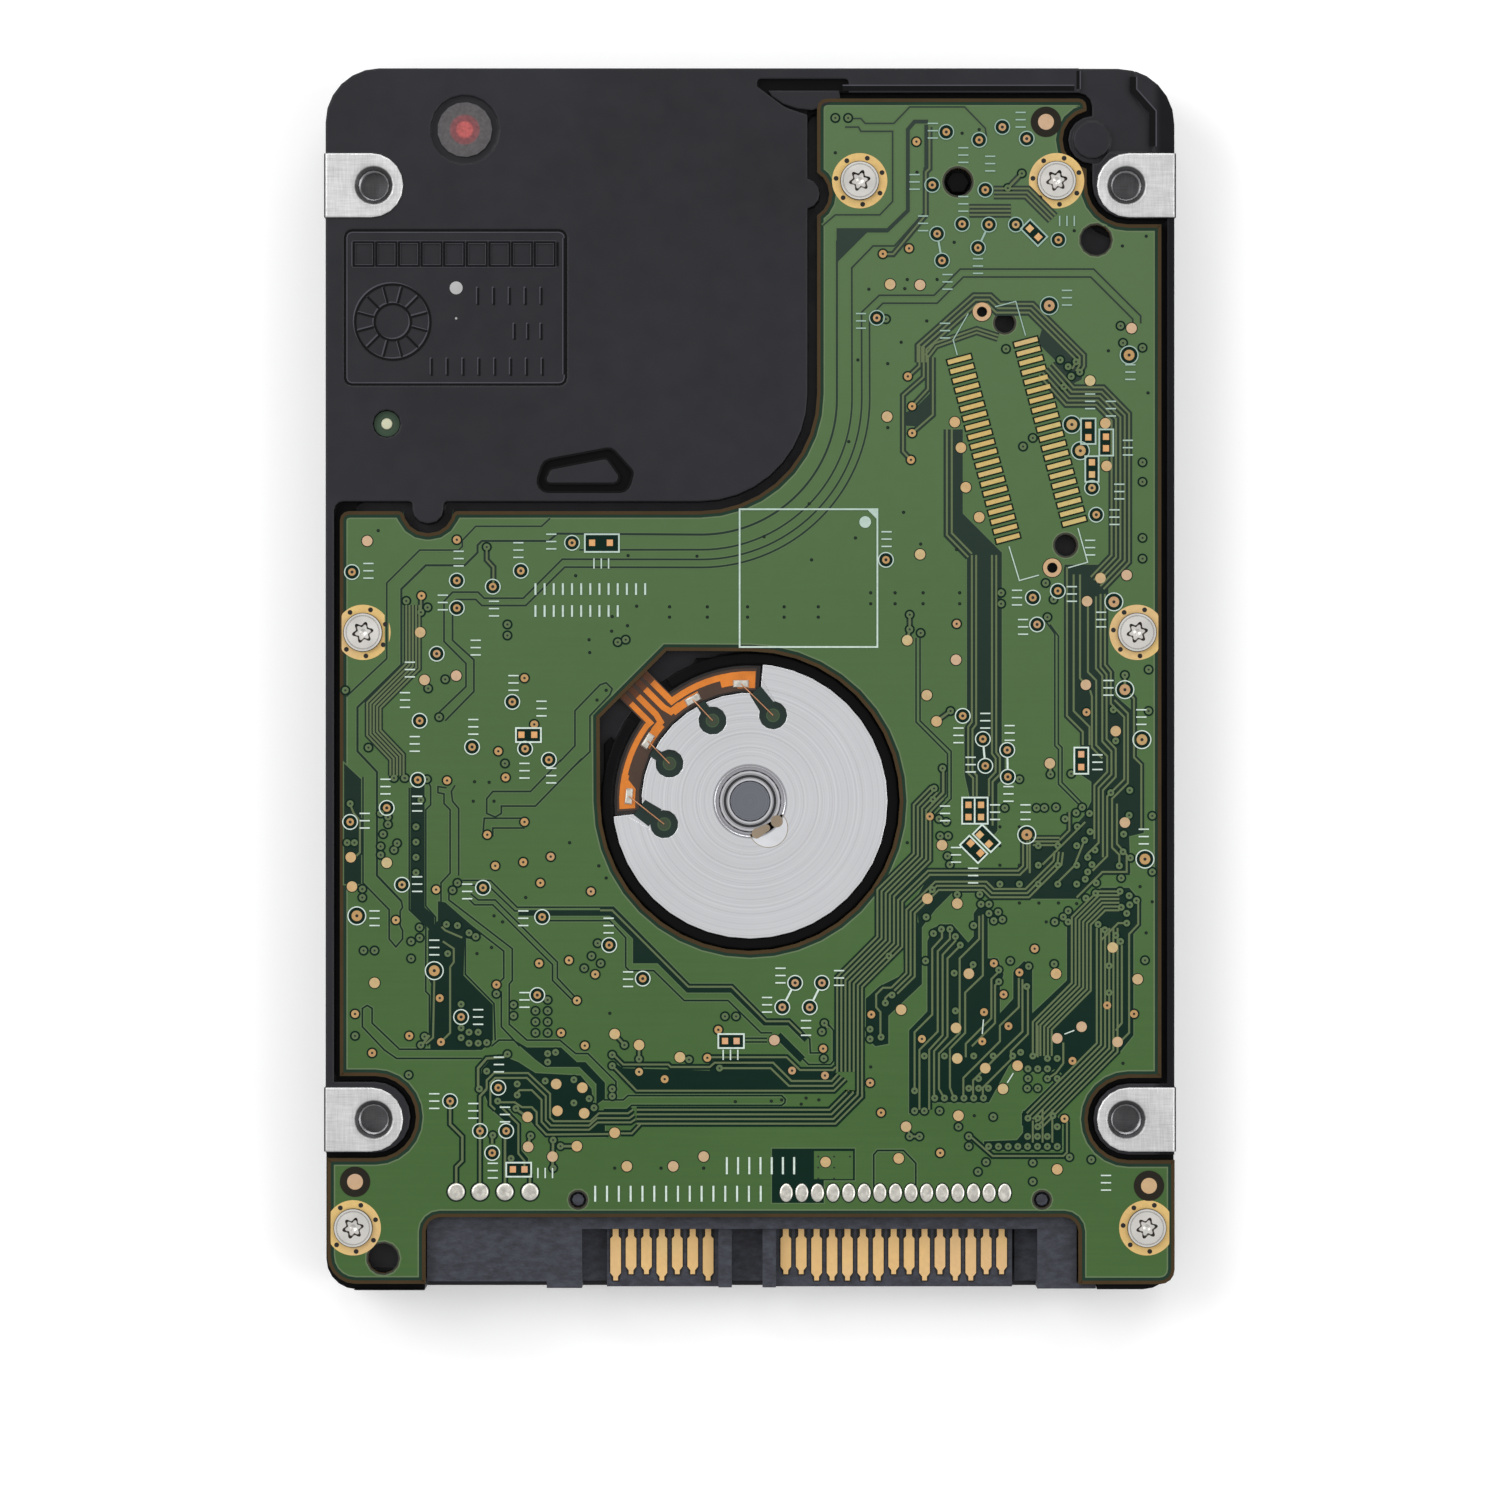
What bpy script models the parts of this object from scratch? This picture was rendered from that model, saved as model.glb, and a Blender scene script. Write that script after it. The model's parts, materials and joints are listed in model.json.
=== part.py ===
"""A slim 2.5-inch hard disk drive, lying on its top cover with its circuit board up.

Lengths are in millimetres and angles in degrees; MM turns lengths into metres when a mesh is made.
X is the width, +Y runs away from the connector end, and Z runs from the cover (0) to the mounting faces (7).
"""

import math

import bmesh
import bpy
from mathutils import Vector

MM = 0.001
WELD = 1e-6
TOLERANCE = 0.04  # how far a facet may lie inside its true arc

# The drive's envelope
WIDTH = 69.85
LENGTH = 100.2
HEIGHT = 7.0
BODY_HALF = 34.8  # the casting's half width; its side pads reach the full width
PAD_HALF = WIDTH / 2
END = LENGTH / 2

# Heights of the layers, from the cover up
COVER_SHEET = 0.4
RIM_OUTSIDE = 0.45
RIM_INSIDE = RIM_OUTSIDE + COVER_SHEET
CLEAR = 0.05  # gap between two pieces that touch on the real drive
CASTING_LOW = RIM_INSIDE + CLEAR
GASKET_LEDGE = 1.25
CAVITY_TOP = 4.2
BAY_FLOOR = 5.0
BOARD_LOW = 5.9
BOARD_TOP = 6.6
DEEP_BAY_TOP = 6.2
PLATE_TOP = 6.85
SEAT = BOARD_LOW - CLEAR

# Axes of rotation and standard hole positions
SPINDLE = (0.0, -10.0)
PIVOT = (-9.0, 30.0)
LATCH = (-23.4, 45.1)
MOUNT_X = 61.72 / 2
MOUNT_LOW_Y = 14.0 - END
MOUNT_HIGH_Y = MOUNT_LOW_Y + 76.6
SIDE_HOLE_Z = HEIGHT - 3.0
THREAD_RADIUS = 1.25

# Disk stack
PLATTER_RADIUS = 32.5
PLATTER_BORE = 10.0
PLATTER_LOW = 1.5
PLATTER_HIGH = 2.135
CAVITY_RADIUS = 33.2
BRACKET_RADIUS = 11.28
COLLAR_INNER = BRACKET_RADIUS + CLEAR
COLLAR_OUTER = 12.2
NOTCH_START = 84.5
NOTCH_END = 186.5
NOTCH_RADIUS = 8.95

# Actuator
HEAD_REACH = 34.0
PARKED = -22.8
COIL_DIRECTION = 157.2
COIL_HALF = 22.0

CORNER_POST = (28.06, 44.26)
BOARD_SCREWS = [(9.0, 40.9), (25.15, 40.9), (-31.75, 3.85), (31.75, 3.85), (-32.55, -45.0), (32.55, -45.0)]
COVER_SCREWS = [(-30.9, 46.9), (30.9, 46.9), (-33.1, 14.0), (33.1, 14.0), (-31.0, -46.4), (31.0, -46.4)]


# ---------------------------------------------------------------- outlines

def arc_steps(radius, sweep):
    """The number of facets that keep an arc within TOLERANCE."""
    facet = 2.0 * math.degrees(math.acos(1.0 - min(TOLERANCE / radius, 0.3)))
    return max(2, math.ceil(abs(sweep) / facet))


def polar(centre, radius, angle):
    turn = math.radians(angle)
    return (centre[0] + radius * math.cos(turn), centre[1] + radius * math.sin(turn))


def arc(centre, radius, start, end):
    """Points along an arc, both ends included."""
    steps = arc_steps(radius, end - start)
    return [polar(centre, radius, start + (end - start) * step / steps) for step in range(steps + 1)]


def circle(centre, radius):
    return arc(centre, radius, 0.0, 360.0)[:-1]


def sector(centre, inner, outer, start, end):
    """A part of a flat ring."""
    return arc(centre, outer, start, end) + arc(centre, inner, end, start)


def capsule(start, end, radius):
    """A straight bar with round ends."""
    heading = math.degrees(math.atan2(end[1] - start[1], end[0] - start[0]))
    return arc(end, radius, heading - 90.0, heading + 90.0) + arc(start, radius, heading + 90.0, heading + 270.0)


def keyhole(centre, radius, mouth, half):
    """A round hole with a straight neck of the given half width that runs out to its mouth."""
    heading = math.degrees(math.atan2(mouth[1] - centre[1], mouth[0] - centre[0]))
    opening = math.degrees(math.asin(half / radius))
    corners = [polar(mouth, half, heading - 90.0), polar(mouth, half, heading + 90.0)]
    return corners + arc(centre, radius, heading + opening, heading + 360.0 - opening)


def rounded(corners):
    """A closed outline of corners (x, y, radius), each rounded by an arc that touches both its sides."""
    points = []
    for index, (x, y, radius) in enumerate(corners):
        here = Vector((x, y))
        if radius <= 0.0:
            points.append((x, y))
            continue
        before = (Vector(corners[index - 1][:2]) - here).normalized()
        after = (Vector(corners[(index + 1) % len(corners)][:2]) - here).normalized()
        half = before.angle(after) / 2.0
        centre = here + (before + after).normalized() * radius / math.sin(half)
        first = here + before * radius / math.tan(half) - centre
        last = here + after * radius / math.tan(half) - centre
        start = math.degrees(math.atan2(first.y, first.x))
        sweep = math.degrees(math.atan2(last.y, last.x)) - start
        sweep = (sweep + 180.0) % 360.0 - 180.0
        points += arc(centre, radius, start, start + sweep)
    return points


def rectangle(low, high, radius=0.0):
    return rounded([(low[0], low[1], radius), (high[0], low[1], radius),
                    (high[0], high[1], radius), (low[0], high[1], radius)])


def tilted_rectangle(centre, length, width, angle):
    """A rectangle whose long side points along the angle."""
    along = Vector(polar((0.0, 0.0), length / 2.0, angle))
    across = Vector(polar((0.0, 0.0), width / 2.0, angle + 90.0))
    middle = Vector(centre)
    return [tuple(middle - along - across), tuple(middle + along - across),
            tuple(middle + along + across), tuple(middle - along + across)]


def body_outline(inset=0.0):
    side = BODY_HALF - inset
    end = END - inset
    return rounded([(-side, -end, 2.5 - inset), (side, -end, 2.5 - inset),
                    (side, end, 4.6 - inset), (-side, end, 4.4 - inset)])


def cavity_outline(grow=0.0):
    """The sealed chamber: the disk's circle, opening into a bay for the actuator."""
    half = 30.6 + grow
    radius = CAVITY_RADIUS + grow
    start = math.degrees(math.acos(half / radius))
    left = [(-half, 35.0 + 0.4 * grow), (-27.0 - grow, 38.2 + 0.4 * grow),
            (-27.0 - grow, 44.9 + 0.4 * grow), (-24.9 - 0.4 * grow, 47.4 + grow)]
    right = [(-x, y) for x, y in reversed(left)]
    return arc(SPINDLE, radius, start, -180.0 - start) + left + right


def board_outline(rim=0.0, plate=0.0):
    """The circuit board's edge. Its seat in the casting is the same outline, grown by rim
    at the drive's edges and pads and by plate along the thick corner of the casting."""
    pad = 3.35 - rim
    boss = 2.42 - rim
    bump = 1.95 - plate
    inner = max(1.2 - rim, 0.2)
    bite = 2.05 - plate
    side = 5.5 - plate
    bite_half = math.degrees(math.acos((side - 4.45) / bite)) if side - 4.45 < bite else 0.0
    step = 13.8 + plate
    corner_x = 27.61 + rim
    corner_y = 47.65 + rim
    post_x, post_y = CORNER_POST
    right = [(side, corner_y, 0.8)]
    if math.hypot(corner_x - post_x, corner_y - post_y) > boss:
        right.append((corner_x, corner_y, 0.65 + rim))
        first = math.degrees(math.acos((corner_x - post_x) / boss))
    else:
        first = 180.0 - math.degrees(math.asin((corner_y - post_y) / boss))
    last = 360.0 - math.degrees(math.acos((corner_x - post_x) / boss))
    right += [(x, y, 0.0) for x, y in arc(CORNER_POST, boss, first, last)]
    right += [(corner_x, 37.33 + rim, pad), (33.75 + rim, 37.33 + rim, 0.0), (33.75 + rim, -32.7 - rim, 0.0),
              (27.7 + rim, -32.7 - rim, pad), (27.7 + rim, -39.45 + rim, pad), (34.84 + rim, -39.45 + rim, 0.0),
              (34.84 + rim, -49.63 - rim, 1.2), (26.95 - rim, -49.63 - rim, 0.0), (26.95 - rim, -44.13 - rim, inner)]
    left = [(-26.62 + rim, -44.13 - rim, inner), (-26.62 + rim, -49.6 - rim, 0.0), (-34.68 - rim, -49.6 - rim, 2.3),
            (-34.68 - rim, -39.28 + rim, 0.0), (-27.4 - rim, -39.28 + rim, pad), (-27.4 - rim, -32.55 - rim, pad),
            (-33.65 - rim, -32.55 - rim, 0.0), (-33.65 - rim, step, 0.75)]
    dip = [(-28.47 + plate, step, 0.3), (-28.47 + plate, 12.0 + plate, bump),
           (-24.35 - plate, 12.0 + plate, bump), (-24.35 - plate, step, 0.3)]
    bay = [(side, step, 9.6 - plate)]
    bay += [(x, y, 0.0) for x, y in arc((4.45, 39.83), bite, -bite_half, bite_half)]
    return rounded(right + left + dip + bay)


def motor_opening():
    """The board's opening: round, with a squarer corner where the motor's flexible circuit leaves."""
    return arc(SPINDLE, 12.3, -180.0, 90.0) + [polar(SPINDLE, 14.1, 119.0), polar(SPINDLE, 14.1, 151.0)]


# ---------------------------------------------------------------- pieces

def clear_scene():
    for thing in list(bpy.data.objects):
        bpy.data.objects.remove(thing, do_unlink=True)


def make_collection(name):
    group = bpy.data.collections.new(name)
    bpy.context.scene.collection.children.link(group)
    return group


def make_axis(name, centre):
    """An empty on an axis of rotation, for the pieces that turn about it."""
    empty = bpy.data.objects.new(name, None)
    empty.location = (centre[0] * MM, centre[1] * MM, 0.0)
    DRIVE.objects.link(empty)
    return empty


def paint(name, colour, roughness, metallic=0.0):
    material = bpy.data.materials.new(name)
    material.use_nodes = True
    shader = material.node_tree.nodes["Principled BSDF"]
    shader.inputs["Base Color"].default_value = (*colour, 1.0)
    shader.inputs["Roughness"].default_value = roughness
    shader.inputs["Metallic"].default_value = metallic
    return material


def tidy(mesh):
    """Welds a mesh, joins its coplanar triangles, faces it outward and shades it smooth between sharp edges."""
    work = bmesh.new()
    work.from_mesh(mesh)
    bmesh.ops.remove_doubles(work, verts=work.verts, dist=WELD)
    bmesh.ops.dissolve_limit(work, angle_limit=0.001, verts=work.verts, edges=work.edges)
    bmesh.ops.recalc_face_normals(work, faces=work.faces)
    work.to_mesh(mesh)
    work.free()
    mesh.shade_smooth()
    mesh.set_sharp_from_angle(angle=math.radians(30.0))


def prism(name, loops, low, high):
    """Straight walls around flat outlines, between two heights. An outline inside another is a hole."""
    curve = bpy.data.curves.new(name, "CURVE")
    curve.dimensions = "2D"
    curve.fill_mode = "BOTH"
    curve.extrude = (high - low) / 2.0 * MM
    for loop in loops:
        spline = curve.splines.new("POLY")
        spline.points.add(len(loop) - 1)
        for point, (x, y) in zip(spline.points, loop):
            point.co = (x * MM, y * MM, 0.0, 1.0)
        spline.use_cyclic_u = True
    flat = bpy.data.objects.new(name + "_outline", curve)
    bpy.context.scene.collection.objects.link(flat)
    flat.location.z = (low + high) / 2.0 * MM
    bpy.context.view_layer.update()
    mesh = bpy.data.meshes.new_from_object(flat.evaluated_get(bpy.context.evaluated_depsgraph_get()))
    mesh.name = name
    tidy(mesh)
    piece = bpy.data.objects.new(name, mesh)
    piece.matrix_world = flat.matrix_world
    bpy.data.objects.remove(flat)
    bpy.data.curves.remove(curve)
    return piece


def turned(name, profile, radius, closed=False):
    """A solid of revolution about Z from (radius, height) points that run down its outer side."""
    mesh = bpy.data.meshes.new(name)
    count = len(profile)
    edges = [(index, index + 1) for index in range(count - 1)]
    if closed:
        edges.append((count - 1, 0))
    mesh.from_pydata([(x * MM, 0.0, z * MM) for x, z in profile], edges, [])
    piece = bpy.data.objects.new(name, mesh)
    screw = piece.modifiers.new("turn", "SCREW")
    screw.steps = 4 * math.ceil(arc_steps(radius, 360.0) / 4)
    screw.render_steps = screw.steps
    screw.use_merge_vertices = True
    screw.merge_threshold = WELD
    screw.use_smooth_shade = True
    return piece


def box(name, low, high):
    mesh = bpy.data.meshes.new(name)
    work = bmesh.new()
    bmesh.ops.create_cube(work, size=1.0)
    for corner in work.verts:
        for axis in range(3):
            corner.co[axis] = (low[axis] if corner.co[axis] < 0.0 else high[axis]) * MM
    work.to_mesh(mesh)
    work.free()
    return bpy.data.objects.new(name, mesh)


def add(piece, material, axis=None):
    """Puts a piece in the drive, riding on an axis if it turns."""
    piece.data.materials.clear()
    piece.data.materials.append(material)
    piece.parent = axis
    DRIVE.objects.link(piece)
    return piece


def tool(piece, axis=None):
    """Makes a piece a guide for a Boolean."""
    piece.parent = axis
    piece.hide_render = True
    piece.display_type = "WIRE"
    TOOLS.objects.link(piece)
    return piece


def combine(piece, operation, guides):
    for guide in guides:
        step = piece.modifiers.new(guide.name, "BOOLEAN")
        step.operation = operation
        step.solver = "EXACT"
        step.object = guide


def place(piece, centre):
    piece.location.x += centre[0] * MM
    piece.location.y += centre[1] * MM
    return piece


# ---------------------------------------------------------------- casting and cover

def side_hole(name, side, y):
    """A guide for one threaded hole in the drive's side."""
    mesh = bpy.data.meshes.new(name)
    work = bmesh.new()
    depth = 3.4 * MM
    bmesh.ops.create_cone(work, cap_ends=True, segments=16, radius1=THREAD_RADIUS * MM,
                          radius2=THREAD_RADIUS * MM, depth=depth)
    work.to_mesh(mesh)
    work.free()
    hole = bpy.data.objects.new(name, mesh)
    hole.rotation_euler.y = math.radians(90.0)
    hole.location = (side * (PAD_HALF - 2.5 + 1.7) * MM, y * MM, SIDE_HOLE_Z * MM)
    return tool(hole)


def mounting_hole(name, centre):
    """A guide for one threaded, countersunk hole in the board side."""
    profile = [(0.0, 7.3), (1.9, 7.3), (THREAD_RADIUS, 6.65), (THREAD_RADIUS, 4.4), (0.0, 4.3)]
    return tool(place(turned(name, profile, THREAD_RADIUS), centre))


def pad_outline(side, y, outer):
    """A mounting pad: square at the drive's side and round at its inner end."""
    return rounded([(side * outer, y - 2.62, 0.0), (side * 28.45, y - 2.62, 2.6),
                    (side * 28.45, y + 2.62, 2.6), (side * outer, y + 2.62, 0.0)])


def panel_squares():
    """The row of nine square cells pressed into the panel."""
    pitch = 16.7 / 9.0
    cells = []
    for column in range(9):
        left = -32.5 + pitch * column
        cells.append(rectangle((left, 33.9), (left + pitch - 0.22, 35.85)))
    return cells


def casting_cuts():
    """Guides for everything hollowed out of the casting before its bosses are added."""
    deep = rounded([(-30.6, 16.2, 0.0), (3.7, 16.2, 7.8), (3.7, 44.7, 0.0), (1.0, 47.4, 0.0),
                    (-24.9, 47.4, 0.0), (-27.0, 44.9, 0.0), (-27.0, 38.2, 0.0), (-30.6, 35.0, 0.0)])
    return [
        tool(prism("cut_chamber", [cavity_outline()], 0.0, CAVITY_TOP)),
        tool(prism("cut_gasket_ledge", [cavity_outline(0.95)], 0.0, GASKET_LEDGE)),
        tool(prism("cut_coil_bay", [deep], 3.9, DEEP_BAY_TOP)),
        tool(prism("cut_board_seat", [board_outline(0.47, 0.8)], SEAT, 8.0)),
        tool(prism("cut_board_bay", [board_outline(-1.2, 0.8)], BAY_FLOOR, SEAT + 0.1)),
        tool(box("cut_connector", (-26.7, -52.0, 1.5), (27.05, -43.8, 8.0))),
        tool(box("cut_connector_flange", (-26.4, -45.0, BAY_FLOOR), (26.7, -41.3, 8.0))),
        tool(box("cut_connector_step", (27.0, -52.0, 1.5), (28.5, -49.4, 8.0))),
    ]


def casting_bosses():
    """Guides for the bosses, collar, tab and pads added to the casting."""
    guides = [tool(prism("collar", [circle(SPINDLE, COLLAR_OUTER)], 4.5, 6.0))]
    guides.append(tool(prism("screw_bosses", [circle(centre, 2.2) for centre in BOARD_SCREWS], 4.9, SEAT)))
    guides.append(tool(prism("locating_boss", [rounded_hexagon((17.06, 40.81), 0.95)], 4.9, 6.2)))
    for side, side_name in ((-1, "left"), (1, "right")):
        for y, end_name in ((MOUNT_LOW_Y, "front"), (MOUNT_HIGH_Y, "rear")):
            outline = rectangle((33.9, y - 2.62), (PAD_HALF, y + 2.62))
            outline = [(side * px, py) for px, py in outline]
            guides.append(tool(prism(f"side_pad_{side_name}_{end_name}", [outline], 1.3, PLATE_TOP)))
            face = pad_outline(side, y, PAD_HALF - 0.12)
            guides.append(tool(prism(f"pad_{side_name}_{end_name}", [face], 6.5, HEIGHT)))
    return guides


def rounded_hexagon(centre, radius):
    return [polar(centre, radius, 60.0 * corner) for corner in range(6)]


def casting_details():
    """Guides for the motor opening, threaded holes and the marks in the outer plate."""
    island = rounded([(-16.95, 16.05, 0.35), (-10.75, 16.05, 0.45), (-10.75, 16.75, 0.3),
                      (-11.75, 18.15, 0.35), (-16.4, 17.25, 0.4)])
    groove = rounded([(-17.75, 15.35, 0.9), (-10.0, 15.35, 0.9), (-9.55, 17.0, 0.5),
                      (-11.35, 19.0, 0.7), (-16.95, 17.95, 0.9)])
    well = rounded([(26.95, 51.0, 0.0), (31.5, 51.0, 0.0), (31.8, 47.7, 0.4), (33.05, 45.8, 0.4),
                    (33.1, 43.22, 0.0), (29.4, 43.22, 0.0), (28.6, 42.3, 0.0), (25.9, 42.3, 0.0),
                    (25.9, 47.0, 0.0), (26.95, 48.0, 0.0)])
    slot = rounded([(0.5, 49.25, 0.3), (8.1, 49.25, 0.3), (8.1, 46.3, 0.0), (5.2, 46.1, 0.0),
                    (2.9, 46.9, 1.5), (0.6, 48.6, 0.2)])
    guides = [
        tool(prism("cut_motor", [circle(SPINDLE, COLLAR_INNER)], 4.0, 8.0)),
        tool(prism("cut_motor_corner", [sector(SPINDLE, 11.2, 12.4, 124.5, 145.5)], 5.5, 8.0)),
        tool(prism("cut_screw_holes", [circle(centre, 0.8) for centre in BOARD_SCREWS], 4.5, 8.0)),
        tool(prism("cut_cover_holes", [circle(centre, 0.8) for centre in COVER_SCREWS], 0.0, 3.4)),
        tool(prism("cut_header", [tilted_rectangle((21.94, 19.6), 16.0, 5.4, 104.8)], 4.0, 8.0)),
        tool(prism("cut_port", [circle(LATCH, 2.83)], 6.35, 8.0)),
        tool(prism("cut_port_hole", [circle(LATCH, 1.6)], 6.0, 8.0)),
        tool(prism("cut_panel", [rectangle((-33.3, 24.08), (-15.0, 36.9), 0.65)], 6.73, 8.0)),
        tool(prism("cut_squares", panel_squares(), 6.64, 8.0)),
        tool(prism("cut_test_hole", [circle((-29.8, 20.96), 1.15)], 6.4, 8.0)),
        tool(prism("cut_groove", [groove, island], 6.5, 8.0)),
        tool(prism("cut_corner_well", [well, circle(CORNER_POST, 1.55)], 6.45, 8.0)),
        tool(prism("cut_top_slot", [slot], 6.4, 8.0)),
    ]
    for side, side_name in ((-1, "left"), (1, "right")):
        for y, end_name in ((MOUNT_LOW_Y, "front"), (MOUNT_HIGH_Y, "rear")):
            guides.append(mounting_hole(f"cut_thread_{side_name}_{end_name}", (side * MOUNT_X, y)))
            guides.append(side_hole(f"cut_side_{side_name}_{end_name}", side, y))
    return guides


def make_casting():
    casting = prism("base_casting", [body_outline()], CASTING_LOW, PLATE_TOP)
    hollows = casting_cuts()
    bosses = casting_bosses()
    details = casting_details()
    tab = tool(prism("motor_tab", [sector(SPINDLE, NOTCH_RADIUS, 11.8, NOTCH_START + 0.3, NOTCH_END - 0.3)], 5.1, 5.5))
    add(casting, paint("black_casting", (0.035, 0.035, 0.038), 0.45))
    combine(casting, "DIFFERENCE", hollows)
    combine(casting, "UNION", bosses)
    combine(casting, "DIFFERENCE", details)
    combine(casting, "UNION", [tab])


def make_cover():
    """A pressed sheet: a flat rim around a raised plateau, with a shallow bed for the label."""
    cover = prism("top_cover", [body_outline(0.25)], RIM_OUTSIDE, RIM_INSIDE)
    plateau = tool(prism("plateau", [cavity_outline(-0.1)], 0.0, RIM_OUTSIDE + 0.2))
    pocket = tool(prism("cut_pocket", [cavity_outline(-0.5)], COVER_SHEET, 1.0))
    label_bed = tool(prism("cut_label_bed", [label_outline(0.1)], -0.5, 0.12))
    holes = tool(prism("cut_cover_screws", [circle(centre, 0.85) for centre in COVER_SCREWS], 0.0, 1.0))
    breather = tool(prism("cut_breather", [circle((21.5, -22.0), 0.6)], -0.5, 1.0))
    add(cover, paint("cover_aluminium", (0.62, 0.63, 0.65), 0.35, 0.9))
    combine(cover, "UNION", [plateau])
    combine(cover, "DIFFERENCE", [pocket, label_bed, holes, breather])

    gasket = prism("cover_gasket", [cavity_outline(0.85), cavity_outline(0.1)], CASTING_LOW, GASKET_LEDGE - CLEAR)
    add(gasket, paint("gasket_rubber", (0.03, 0.03, 0.03), 0.8))
    label = prism("cover_label", [label_outline(0.0)], 0.03, 0.1)
    add(label, paint("label_paper", (0.82, 0.83, 0.84), 0.55))
    filter_disc = prism("breather_filter", [circle((21.5, -22.0), 2.4)], COVER_SHEET + CLEAR, 0.75)
    add(filter_disc, paint("filter_felt", (0.75, 0.74, 0.7), 0.9))


def label_outline(grow):
    return rectangle((-26.5 - grow, -15.0 - grow), (26.5 + grow, 42.5 + grow), 1.5 + grow)


def screw(name, centre, head_radius, head_outer, head_inner, tip, material):
    """A screw along Z. The head's outer face, its inner face and the shank's tip are heights."""
    if tip > head_inner:
        profile = [(0.0, tip), (0.7, tip), (0.7, head_inner), (head_radius, head_inner),
                   (head_radius, head_outer), (0.0, head_outer)]
    else:
        profile = [(0.0, head_outer), (head_radius, head_outer), (head_radius, head_inner),
                   (0.7, head_inner), (0.7, tip), (0.0, tip)]
    add(place(turned(name, profile, head_radius), centre), material)


def make_screws():
    steel = paint("screw_steel", (0.7, 0.7, 0.69), 0.3, 1.0)
    for number, centre in enumerate(COVER_SCREWS, 1):
        screw(f"cover_screw_{number}", centre, 1.4, 0.04, RIM_OUTSIDE - 0.03, 3.1, steel)
    for number, centre in enumerate(BOARD_SCREWS, 1):
        screw(f"board_screw_{number}", centre, 1.55, 6.97, BOARD_TOP + 0.03, 4.6, steel)


# ---------------------------------------------------------------- board and connector

def make_board():
    openings = [motor_opening()]
    openings += [circle(centre, 0.95) for centre in BOARD_SCREWS]
    round_holes = [(17.06, 40.81, 1.15), (28.38, 36.05, 1.25), (20.9, 29.24, 0.82), (25.9, 11.0, 0.9),
                   (-30.1, -47.5, 1.25), (-14.1, -42.7, 0.68), (23.95, -42.7, 0.68),
                   (19.03, 30.15, 0.42), (24.8, 9.15, 0.42)]
    openings += [circle((x, y), radius) for x, y, radius in round_holes]
    board = prism("circuit_board", [board_outline()] + openings, BOARD_LOW, BOARD_TOP)
    add(board, paint("board_green", (0.06, 0.13, 0.045), 0.4))


def make_chips():
    """The chips stand on the board's inner face, out of sight once the board is on."""
    epoxy = paint("chip_epoxy", (0.03, 0.03, 0.03), 0.6)
    chips = [("controller_chip", 4.9, 8.2, 5.3, 5.3), ("memory_chip", 17.0, -3.5, 4.0, 5.0),
             ("motor_driver_chip", -19.0, -1.5, 3.5, 3.5)]
    for name, x, y, half_x, half_y in chips:
        outline = rectangle((x - half_x, y - half_y), (x + half_x, y + half_y))
        add(prism(name, [outline], 5.1, BOARD_LOW - CLEAR), epoxy)
    header = prism("preamp_header", [tilted_rectangle((21.94, 19.6), 15.9, 5.3, 104.8)], 4.15, BOARD_LOW - CLEAR)
    add(header, paint("header_plastic", (0.05, 0.05, 0.05), 0.6))


SIGNAL_PINS = (-11.07, "LSSLSSL")
POWER_PINS = (2.95, "SSLLLLLSSLSLLSS")
PIN_PITCH = 1.27
TONGUE_LOW = 2.885
TONGUE_HIGH = 4.115
HOUSING_TOP = 5.8
CONTACT_LOW = 4.14
CONTACT_HIGH = 4.26


def contact_comb(first, lengths):
    """One row of contact blades, joined by a tie bar inside the housing."""
    bar_back = -44.05
    bar_front = -44.5
    points = [(first + PIN_PITCH * (len(lengths) - 1) + 0.43, bar_back), (first - 0.43, bar_back)]
    for number, length in enumerate(lengths):
        x = first + PIN_PITCH * number
        tip = -49.5 if length == "L" else -48.98
        points += [(x - 0.24, bar_front), (x - 0.24, -45.85), (x - 0.435, -46.05), (x - 0.435, tip + 0.62),
                   (x - 0.19, tip + 0.32), (x - 0.19, tip), (x + 0.19, tip), (x + 0.19, tip + 0.32),
                   (x + 0.435, tip + 0.62), (x + 0.435, -46.05), (x + 0.24, -45.85), (x + 0.24, bar_front)]
    points[2] = (first - 0.43, bar_front)
    points.insert(3, (first - 0.24, bar_front))
    points[-1] = (first + PIN_PITCH * (len(lengths) - 1) + 0.24, bar_front)
    points.append((first + PIN_PITCH * (len(lengths) - 1) + 0.43, bar_front))
    return points


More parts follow.
